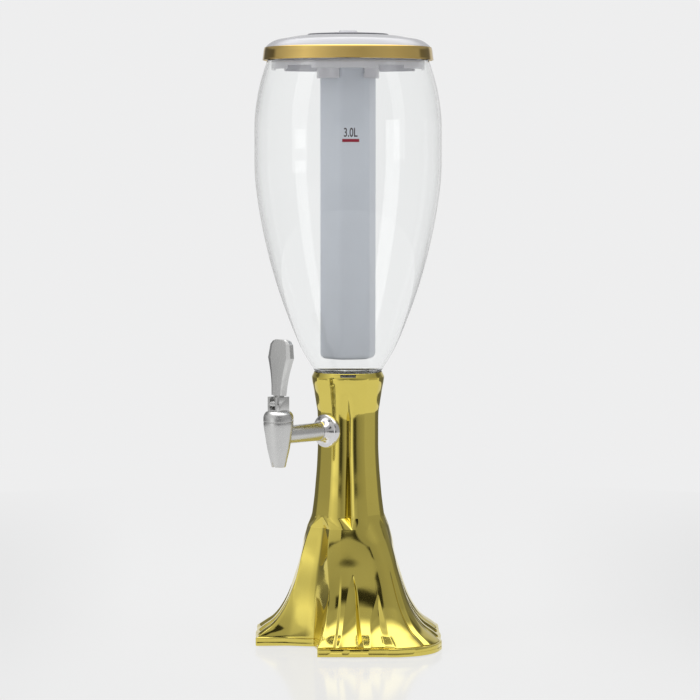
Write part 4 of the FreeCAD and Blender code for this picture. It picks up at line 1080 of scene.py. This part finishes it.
# Each height of the plinth, and how far its edges and the thin line are set back there.
plinth_rows = [(1.0, 0.6), (1.15, 0.2), (1.6, 0.0), (4.5, 0.0), (4.65, 0.12), (4.9, 0.12),
               (5.05, 0.0), (7.9, 0.0), (8.3, 0.15), (8.5, 0.6)]
for height, set_back in plinth_rows:
    ring = ring_at(PLINTH_TOP, 1.0, set_back)
    outside.append([Vector((point.x, point.y, height)) for point in ring])
heights = [8.8, 9.4] + list(np.arange(10.4, 108.6, 1.6)) + [108.7]
outside += [ring_at(float(height), 1.0 - min(1.0, (height - PLINTH_TOP) / 5)) for height in heights]
low_ring, high_ring = ring_at(RUN_OUT - 0.001), ring_at(GROOVE_FOOT)
for share in (0.0, 0.03, 0.25, 0.5, 0.75, 0.97, 1.0):
    outside.append([low.lerp(high, share) for low, high in zip(low_ring, high_ring)])
neck_heights = [*np.arange(121, 206, 3.0), *np.arange(206, 236, 1.0), 238, 241, 244, 245.6]
outside += [ring_at(float(height)) for height in neck_heights]
rim_line = [(33.2, 246.0), (33.1, 246.4), (32.4, 247.9), (31.7, 249.3), (31.45, 250.0),
            (31.3, 250.35), (31.15, 250.5), (31.0, 250.4), (31.0, 244.0), (SEAT_BORE, 244.0),
            (SEAT_BORE, 229.1), (WELL_BORE, 229.1), (WELL_BORE, WEB_TOP)]
rims = [round_ring(radius, height) for radius, height in rim_line]


def skin(rings, low_pole, high_pole):
    """A closed mesh through rings of as many points each."""
    count = len(rings[0])
    corners = [point * MM for ring in rings for point in ring]
    faces = []
    for level in range(len(rings) - 1):
        for index in range(count):
            a, b = level * count + index, level * count + (index + 1) % count
            faces.append((a, b, b + count, a + count))
    for pole, level in ((low_pole, 0), (high_pole, len(rings) - 1)):
        corners.append(Vector((0, 0, pole * MM)))
        for index in range(count):
            a, b = level * count + index, level * count + (index + 1) % count
            faces.append((b, a, len(corners) - 1))
    mesh = bpy.data.meshes.new("skin")
    mesh.from_pydata(corners, [], faces)
    shape = bmesh.new()
    shape.from_mesh(mesh)
    bmesh.ops.remove_doubles(shape, verts=shape.verts, dist=0.001 * MM)
    bmesh.ops.recalc_face_normals(shape, faces=shape.faces)
    shape.to_mesh(mesh)
    shape.free()
    return outward(mesh)


base_mesh = skin(hollow + outside + rims, WEB_BOTTOM, WEB_TOP)
print("base skin", len(base_mesh.vertices), "points")

# %% Cutting the base
TAP_Z = 197.8


def lying(mesh):
    """Turns a piece made round Z so that its axis runs along the shank, height to -Y."""
    return mesh.transform(Matrix.Rotation(math.radians(90), 4, "X")) or mesh


def rod(radius, low, high, finish=None, sides=64):
    """A plain round bar between two heights, for cutting and joining."""
    line = [(0, low), (radius, low), (radius, high), (0, high)]
    return turned(line, finish, sides, closed=False)


shank_hole = moved(lying(rod(7.3, 20, 40)), None, (0, 0, TAP_Z))
window_turn = Matrix.Rotation(math.radians(-45), 4, "Z")
window = moved(block((29.4, -7.1, 247.3), (34.4, 7.1, 249.8)), window_turn)
channel = block((-11.3, -23.5, 181.5), (11.3, 0, 244.5))
for cutter in (shank_hole, window, channel):
    base_mesh = combined(base_mesh, cutter, "DIFFERENCE")
place_piece(base_mesh, "base_shell_gold", "base", ["base_shell"], 38, gold)

# %% [markdown]
# ## The clear bulb
# The container is blown or moulded clear plastic, about three millimetres thick. Its
# rule is an outline turned round the axis, with real thickness, so that its rim, foot
# and neck bend the light as the real walls do. Three lugs on the neck lock it.

# %% Container
BULB_WALL = 2.8
bulb_line = [(30.25, 250.8), (41.52, 269.12), (51.55, 291.58), (63.4, 324.42), (72.8, 357.44),
             (79.8, 390.46), (83.6, 415.04), (85.1, 432.32), (85.25, 457.0), (85.0, 481.08),
             (82.9, 499.37), (78.7, 518.25), (74.0, 533.0)]
outer_wall = spline(bulb_line, 90)
inner_wall = spline([(radius - BULB_WALL, height) for radius, height in bulb_line], 90)
container_line = (
    outer_wall
    + eased([(73.4, 534.2), (73.0, 535.0), (73.0, 540.0, 1.1), (70.2, 540.0, 1.0),
             (70.2, 532.6)], False)
    + inner_wall[::-1]
    + eased([(20.85, 248.6, 2.0), (20.85, 232.5, 0.8), (23.65, 232.5, 0.8), (23.65, 248.0, 0.3),
             (30.25, 248.0, 0.8), (30.25, 250.4)], False)
)
container_mesh = turned(container_line, clear_plastic, 192)
lug = wedge(25.25, 23.0, 236.0, 239.0, 14)
lugs = round_the_axis(lug, clear_plastic, 3, 45, 120)
container_mesh = combined(container_mesh, lugs, "UNION")
place_piece(container_mesh, "container_clear", "container", ["container"], 40,
            clear_plastic)

# %% [markdown]
# ### The volume mark
# A plain graduation is printed on the bulb: the number of litres, dark, over a red bar.
# The text is made a mesh with a little thickness and then wrapped on the bulb.

# %% Volume mark
MARK_TURN = 46.6
# The bulb's radius at the mark, and how far the print stands off the wall.
MARK_RADIUS = 85
STAND_OFF = 0.02
wall_radius = Flow(*[(height, radius) for radius, height in outer_wall[::6]])


def wrapped(mesh, bottom, thickness):
    """Wraps a flat mesh, in millimetres with Z as its thickness, on the bulb."""
    for vertex in mesh.vertices:
        across, up, lift = vertex.co
        height = bottom + up
        radius = wall_radius(height) + STAND_OFF + (thickness if lift > 0 else 0)
        vertex.co = plan(MARK_TURN + math.degrees(across / MARK_RADIUS), radius * MM, height * MM)
    return mesh


def flat_text(words, width, tall):
    """Words as a closed mesh of a given width and height."""
    text = bpy.data.curves.new("mark", "FONT")
    text.body = words
    text.extrude = 0.01
    text.offset = 0.012
    carrier = added("mark", text)
    mesh = evaluated(carrier)
    bpy.data.objects.remove(carrier)
    spans = np.array([vertex.co[:] for vertex in mesh.vertices])
    low, high = spans.min(axis=0), spans.max(axis=0)
    for vertex in mesh.vertices:
        vertex.co.x = ((vertex.co.x - low[0]) / (high[0] - low[0]) - 0.5) * width
        vertex.co.y = (vertex.co.y - low[1]) / (high[1] - low[1]) * tall
    return mesh


def flat_bar(width, tall):
    """A thin bar in twelve columns, so that it can follow the bulb."""
    shape = bmesh.new()
    bmesh.ops.create_grid(shape, x_segments=12, y_segments=1, size=0.5)
    bmesh.ops.solidify(shape, geom=shape.faces[:], thickness=0.01)
    for vertex in shape.verts:
        vertex.co.x *= width
        vertex.co.y = (vertex.co.y + 0.5) * tall
    highest = max(vertex.co.z for vertex in shape.verts)
    for vertex in shape.verts:
        vertex.co.z = 1.0 if vertex.co.z > highest - 0.005 else -1.0
    return mesh_from(shape, "bar")


number = wrapped(flat_text("3.0L", 12.0, 8.0), 464.6, 0.04)
bar = wrapped(flat_bar(15.0, 2.7), 460.1, 0.04)
place_piece(outward(number), "volume_number", "container", (), 40, dark_ink)
place_piece(outward(bar), "volume_bar", "container", (), 40, red_ink)

# %% [markdown]
# ## The lid
# A white dome with a gold band pressed round it. Under it a ring plugs the bulb's mouth,
# with five notches that let air in, and three claws hold the ice tube. The round shapes
# are turned, and the notches and the claws' gaps are cut with wedges.

# %% Lid shell
TUBE_LUG_TURN = -33.5
dome_line = spline([(75.0, 546.3), (74.2, 547.4), (72.5, 548.9), (69.3, 551.1), (65.6, 552.7),
                    (56.6, 554.4), (50.0, 555.7), (43.0, 556.7), (37.7, 557.0)], 28)
dome_under = [(radius - 1.0, height - 2.4) for radius, height in reversed(dome_line[9:-1])]
lid_line = (
    [(76.7, 535.0), (75.2, 545.9)] + dome_line
    + eased([(37.4, 556.9), (37.4, 555.0), (26.32, 555.0, 0.4), (26.32, 517.6, 0.5),
             (28.52, 517.6, 0.6), (28.52, 552.6, 1.2), (36.4, 552.6)], False)
    + dome_under
    + eased([(67.7, 548.5), (67.7, 525.5, 0.6), (69.9, 525.5, 0.6), (69.9, 542.3), (73.0, 542.3),
             (73.3, 540.0), (74.6, 535.4)], False)
)
lid_mesh = turned(lid_line, lid_white, 160)
claw_gap = round_the_axis(wedge(31, 24, 517, 529.4, 48), lid_white, 3, -7.5 + 60, 120)
lug_track = round_the_axis(wedge(27.82, 25, 521.7, 525.3, 20), lid_white, 3, TUBE_LUG_TURN, 120)
notches = round_the_axis(wedge(71, 66.5, 525, 528.5, 22), lid_white, 5, 6.6, 72)
for cutter in (claw_gap, lug_track, notches):
    lid_mesh = combined(lid_mesh, cutter, "DIFFERENCE")
place_piece(lid_mesh, "lid_white", "lid", ["lid_shell"], 35, lid_white)

# %% Band, gasket and cap
band_line = (
    [(76.75, 534.7), (76.8, 534.35), (77.6, 534.3), (77.85, 534.5), (77.85, 534.9)]
    + spline([(77.7, 535.4), (77.3, 538.5), (76.95, 541.5), (76.6, 544.0), (76.3, 545.2)], 14)
    + eased([(76.1, 545.8), (75.9, 546.1, 0.2), (75.25, 546.1)], False)
)
place_piece(turned(band_line, band_gold, 192), "lid_band_gold", "lid", ["lid_band"], 30)
gasket_line = eased([(69.95, 540.3, 0.4), (72.7, 540.3, 0.4), (72.7, 542.25, 0.4),
                     (69.95, 542.25, 0.4)])
place_piece(turned(gasket_line, silicone, 160), "lid_gasket_ring", "lid",
            ["lid_gasket"])
cap_line = (
    eased([(0, 561.4), (7.6, 561.4, 0.8), (8.6, 559.6, 0.8), (20.0, 559.2), (34.6, 558.4)], False)
    + eased([(36.2, 558.3, 0.5), (36.2, 555.3), (22.4, 555.3), (22.4, 550.5), (21.8, 550.5),
             (21.8, 549.1), (22.4, 549.1), (22.4, 547.7, 0.5), (20.2, 547.7, 0.5),
             (20.2, 557.0), (0, 557.0)], False)
)
place_piece(turned(cap_line, lid_white, 160, closed=False), "ice_cap_disc", "ice_cap",
            ["ice_cap"])
# A dark grey ring round the cap's edge is painted shade: it stands for the shadow in the gap
# between the cap and the lid's recess.
gap_shade_line = eased([(36.2, 555.3), (36.8, 555.3, 0.2), (36.8, 557.9, 0.25), (36.2, 558.1)])
place_piece(turned(gap_shade_line, painted_gap_shade, 160), "ice_cap_painted_gap_shade", "ice_cap")
cap_seal_line = eased([(21.9, 549.15, 0.3), (23.1, 549.15, 0.4), (23.1, 550.45, 0.4),
                       (21.9, 550.45, 0.3)])
place_piece(turned(cap_seal_line, silicone, 96), "ice_cap_ring", "ice_cap",
            ["ice_cap_seal"])

# %% [markdown]
# ## The ice tube
# A long cup of frosted plastic, six-sided with soft edges, and round at its top where
# the lid holds it. It is turned as a round cup first, and then every point is pushed out
# by the rule of a rounded hexagon: on a face the radius is the apothem over a cosine,
# and near an edge it is the far side of the edge's circle.

# %% The hexagon tree
hexagon_tree, graph, inputs = new_tree("Six-sided cup", [
    ("Sides", "Int"), ("Ring radius", "Float"), ("Apothem", "Float"), ("Edge rounding", "Float"),
    ("Face angle", "Float"), ("Collar height", "Float"), ("Finish", "Material"),
])
cup = swept(graph, inputs["Geometry"], inputs["Sides"], inputs["Ring radius"])
x, y, z = graph.axes(graph.node("GeometryNodeInputPosition").outputs[0])
apothem, rounding = Number(graph, inputs["Apothem"]), Number(graph, inputs["Edge rounding"])
bearing = graph.math("ARCTAN2", y, x) - Number(graph, inputs["Face angle"])
off_face = graph.math("PINGPONG", bearing, math.pi / 6)
off_edge = math.pi / 6 - off_face
centre = (apothem - rounding) / math.cos(math.pi / 6)
drift = centre * off_edge.sine()
on_edge = centre * off_edge.cosine() + (rounding * rounding - drift * drift).root()
on_face = apothem / off_face.cosine()
face_ends = graph.math("ARCTANGENT", (1 - rounding / apothem) * math.tan(math.pi / 6))
radius = (x * x + y * y).root()
share = (radius / apothem).at_most(1.0) * (1 - z.over(Number(graph, inputs["Collar height"])))
push = (on_face + off_face.over(face_ends) * (on_edge - on_face) - apothem) * share
outwards = graph.node("ShaderNodeVectorMath", {"operation": "NORMALIZE"}, {
    0: graph.node("ShaderNodeCombineXYZ", None, {"X": x, "Y": y}).outputs[0],
})
step_out = graph.node("ShaderNodeVectorMath", {"operation": "SCALE"}, {
    0: outwards.outputs[0], "Scale": push,
})
pushed = graph.node("GeometryNodeSetPosition", None, {
    "Geometry": cup, "Offset": step_out.outputs[0],
})
finish_tree(graph, pushed.outputs[0], inputs["Finish"])

# %% Ice tube
tube_line = eased([
    (0, 263.3), (23.3, 263.3, 5.5), (23.3, 533.0), (26.0, 533.7, 0.3), (26.0, 554.7, 0.6),
    (23.4, 554.7, 0.6), (23.4, 534.0), (21.1, 533.1), (21.1, 265.5, 3.5), (0, 265.5),
], False, 6)
rows = []
for (radius, height), (next_radius, next_height) in zip(tube_line, tube_line[1:]):
    parts = max(1, int(abs(next_height - height) // 12), int(abs(next_radius - radius) // 3))
    rows += [(radius + (next_radius - radius) * part / parts,
              height + (next_height - height) * part / parts) for part in range(parts)]
rows.append(tube_line[-1])
tube_mesh = outward(grown(line_mesh(rows, False), hexagon_tree, {
    "Sides": 144, "Ring radius": RING_RADIUS, "Apothem": 23.3 * MM, "Edge rounding": 7.0 * MM,
    "Face angle": math.radians(59.5 - 90), "Collar height": 533.4 * MM, "Finish": tube_frost,
}))
tube_lugs = round_the_axis(wedge(27.5, 24.0, 522.0, 525.0, 12), tube_frost, 3, TUBE_LUG_TURN, 120)
tube_mesh = combined(tube_mesh, tube_lugs, "UNION")
place_piece(tube_mesh, "ice_tube_frosted", "ice_tube", ["ice_tube"], 30, tube_frost)

# %% [markdown]
# ## The tap
# The tap's body and shank are turned steel with a satin face, and its flange is polished.
# Body and bonnet are outlines turned about the tap's own upright line, the shank and the
# flange about the shank's line. The yoke and the lever keep their CAD shape, and get the
# small edge breaks that catch the light.

# %% Tap body
TAP_Y = -88.09


def at_tap(mesh):
    """Moves a piece made round Z to the tap's upright line."""
    return moved(mesh, None, (0, TAP_Y, 0))


def on_shank(mesh):
    """Lays a piece made round Z on the shank's line."""
    return moved(lying(mesh), None, (0, 0, TAP_Z))


nozzle_line = (
    eased([(0, 169.5), (6.3, 169.5, 0.35), (6.6, 170.6)], False)
    + spline([(6.9, 171.8), (8.05, 177.1), (10.1, 186.0), (11.4, 194.4), (12.55, 201.5),
              (13.1, 205.5)], 24)
    + eased([(13.4, 207.6), (13.45, 210.2, 0.3), (11.3, 210.2), (11.3, 214.0), (0, 214.0)], False)
)
tap_mesh = at_tap(turned(nozzle_line, steel, 128, closed=False))
shank_bar = on_shank(rod(8.2, 27.2, 86.0, steel, 96))
thread_line = [(0, 6.0), (6.6, 6.0), (7.0, 6.6), (7.0, 30.0), (0, 30.0)]
thread_bar = on_shank(turned(thread_line, steel, 64, closed=False))
for part in (shank_bar, thread_bar):
    tap_mesh = combined(tap_mesh, part, "UNION")
chamber = at_tap(rod(8.9, 189.0, 215.0))
nozzle_hole = at_tap(rod(4.6, 169.0, 190.0))
shank_bore = on_shank(rod(4.5, 5.0, 88.0, None, 48))
drip = bpy.data.meshes.new("drip")
drip.from_pydata([(-1.9 * MM, y * MM, 169.4 * MM) for y in (0, -14)]
                 + [(1.9 * MM, y * MM, 169.4 * MM) for y in (0, -14)]
                 + [(0, y * MM, 174.5 * MM) for y in (0, -14)], [],
                 [(0, 1, 3, 2), (0, 2, 4), (1, 5, 3), (2, 3, 5, 4), (0, 4, 5, 1)])
for cutter in (chamber, nozzle_hole, shank_bore, outward(at_tap(drip))):
    tap_mesh = combined(tap_mesh, cutter, "DIFFERENCE")
place_piece(tap_mesh, "tap_body_satin", "base", ["tap_body"], 32, steel)

# %% Flange, washer and bonnet
flange_line = (
    [(8.25, 27.0), (14.6, 27.0), (14.6, 24.6)]
    + spline([(14.8, 24.5), (15.3, 25.2), (15.6, 27.0), (15.45, 28.9), (14.8, 30.4),
              (13.9, 31.1)], 18)
    + spline([(13.7, 31.15), (12.2, 32.2), (10.7, 33.6), (9.6, 35.2), (8.9, 36.6), (8.6, 38.0)], 18)
    + [(8.25, 38.0)]
)
place_piece(on_shank(turned(flange_line, polished_steel, 128)), "tap_flange_dome", "base",
            ["tap_flange"])
washer_line = eased([(7.05, 26.0), (14.4, 26.0, 0.3), (14.4, 27.0, 0.3), (7.05, 27.0)])
place_piece(on_shank(turned(washer_line, dark_rubber, 96)), "tap_washer_ring", "base",
            ["tap_washer_outer"])
bonnet_line = (
    eased([(11.35, 210.4), (13.35, 210.4, 0.3), (13.6, 210.8, 0.2), (13.6, 213.6)], False)
    + spline([(13.5, 214.8), (13.0, 216.7), (11.85, 218.6), (10.6, 219.7)], 12)
    + eased([(10.0, 220.0), (2.45, 220.0), (2.45, 217.5), (8.9, 217.5), (8.9, 215.5),
             (11.35, 215.5)], False)
)
place_piece(at_tap(turned(bonnet_line, steel, 128)), "tap_bonnet_ring", "base",
            ["tap_bonnet"])

# %% [markdown]
# ## Edge breaks on CAD pieces
# A CAD node comes as loose triangles with sharp edges. A copy is merged, its flat faces
# are joined again, and a small bevel is worked in on the sharp edges.

# %% Yoke and lever
def merged_copy(node):
    """A copy of a CAD node's mesh, merged, with its flat faces joined again."""
    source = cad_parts[node]
    shape = bmesh.new()
    shape.from_mesh(source.data)
    shape.transform(source.matrix_world)
    bmesh.ops.remove_doubles(shape, verts=shape.verts, dist=0.002 * MM)
    bmesh.ops.dissolve_limit(shape, angle_limit=math.radians(1), verts=shape.verts,
                             edges=shape.edges)
    return mesh_from(shape, node)


def from_node(node, bevel, angle=28):
    """A merged copy with its sharp edges broken."""
    carrier = added(node, merged_copy(node))
    modifier = carrier.modifiers.new("edges", "BEVEL")
    modifier.width = bevel * MM
    modifier.segments = 2
    modifier.limit_method = "ANGLE"
    modifier.angle_limit = math.radians(angle)
    modifier.use_clamp_overlap = True
    result = evaluated(carrier)
    bpy.data.objects.remove(carrier)
    return result


place_piece(from_node("tap_yoke", 0.22), "tap_yoke_block", "base", ["tap_yoke"], 40, steel)
place_piece(from_node("tap_lever", 0.35, 10), "tap_lever_paddle", "lever",
            ["tap_lever"], 9, steel)

# %% [markdown]
# ## The return spring
# The spring sits between the bonnet and the stem's collar. On the real tap, when the lever
# lifts the stem by three millimetres, the spring gets that much shorter, with its top end
# held. Here the coil keeps its CAD shape, on a mesh of its own.

# %% Spring
spring = place_piece(merged_copy("tap_spring"), "tap_spring_coil", "base",
                     ["tap_spring"], 40, polished_steel)
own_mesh(spring)

# %% [markdown]
# ## The seal under the bulb
# A flat silicone ring on the well's rim, right under the bulb's foot.

# %% Seal under the bulb
seal_line = eased([(24.95, 246.0, 0.4), (29.65, 246.0, 0.5), (29.65, 247.7, 0.5),
                   (24.95, 247.7, 0.4)])
place_piece(turned(seal_line, silicone, 128), "container_seal_ring", "base",
            ["container_seal"])

# %% [markdown]
# ## Feet and screws
# Four rubber feet and seven screws are copies of one foot and one screw each, placed by
# the copying tree.

# %% Feet
foot_line = eased([(0, 0), (6.6, 0, 0.6), (7.6, 0.8, 0.5), (8.0, 1.4, 0.3), (8.0, 3.6),
                   (0, 3.6)], False)
foot = moved(turned(foot_line, dark_rubber, 48, closed=False), None, (0, -70, 0))
place_piece(round_the_axis(foot, dark_rubber, 4, 45, 90), "rubber_feet_pads", "base",
            ["rubber_feet"], 30)


# %% Screws
def screw(radius_out, head_top, length):
    """A round-headed screw with a cross recess, its point up, so far from the axis."""
    low = head_top - 1.9
    line = eased([(0, low), (1.9, low, 0.5), (3.0, low + 1.0, 0.6), (3.0, head_top, 0.1),
                  (1.45, head_top), (1.45, head_top + length - 1.2), (0.3, head_top + length),
                  (0, head_top + length)], False, 3)
    made = turned(line, polished_steel, 32, closed=False)
    for size in ((1.8, 0.36), (0.36, 1.8)):
        slot = block((-size[0], -size[1], low - 0.5), (size[0], size[1], low + 0.95))
        made = combined(made, slot, "DIFFERENCE")
    return moved(made, None, (0, -radius_out, 0))


well_screws = round_the_axis(screw(12.0, WEB_BOTTOM, 9.0), polished_steel, 3, 60, 120)
place_piece(well_screws, "well_screws_round", "base", ["well_screws"], 30)
COVER_HEAD_TOP, COVER_SCREW_LENGTH = 3.9, 12.6
front_screw = screw(33.0, COVER_HEAD_TOP, COVER_SCREW_LENGTH)
back_screw = screw(66.0, COVER_HEAD_TOP, COVER_SCREW_LENGTH)
cover_screws = joined([round_the_axis(back_screw, polished_steel, 3, 90, 90), front_screw])
place_piece(cover_screws, "cover_screws_round", "base", ["cover_screws"], 30,
            polished_steel)

# %% [markdown]
# ## Pieces that keep their CAD shape
# The rest is small, plain or hidden, and the CAD mesh is right as it is. Each one only
# gets its finish.

# %% Finishes for the CAD nodes
node_finishes = {
    "inner_well": well_plastic, "tap_washer_inner": dark_rubber, "tap_nut": polished_steel,
    "bonnet_seal": dark_rubber, "hinge_pin": polished_steel, "lift_pin": polished_steel,
    "tap_stem": polished_steel, "seat_cup": silicone, "bottom_cover": cover_plastic,
}
for node, finish in node_finishes.items():
    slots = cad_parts[node].data.materials
    if not slots:
        slots.append(finish)
    for place in range(len(slots)):
        slots[place] = finish
print("CAD nodes with a finish", len(node_finishes))

# %% The view transform, and end
scene.view_settings.view_transform = "Standard"
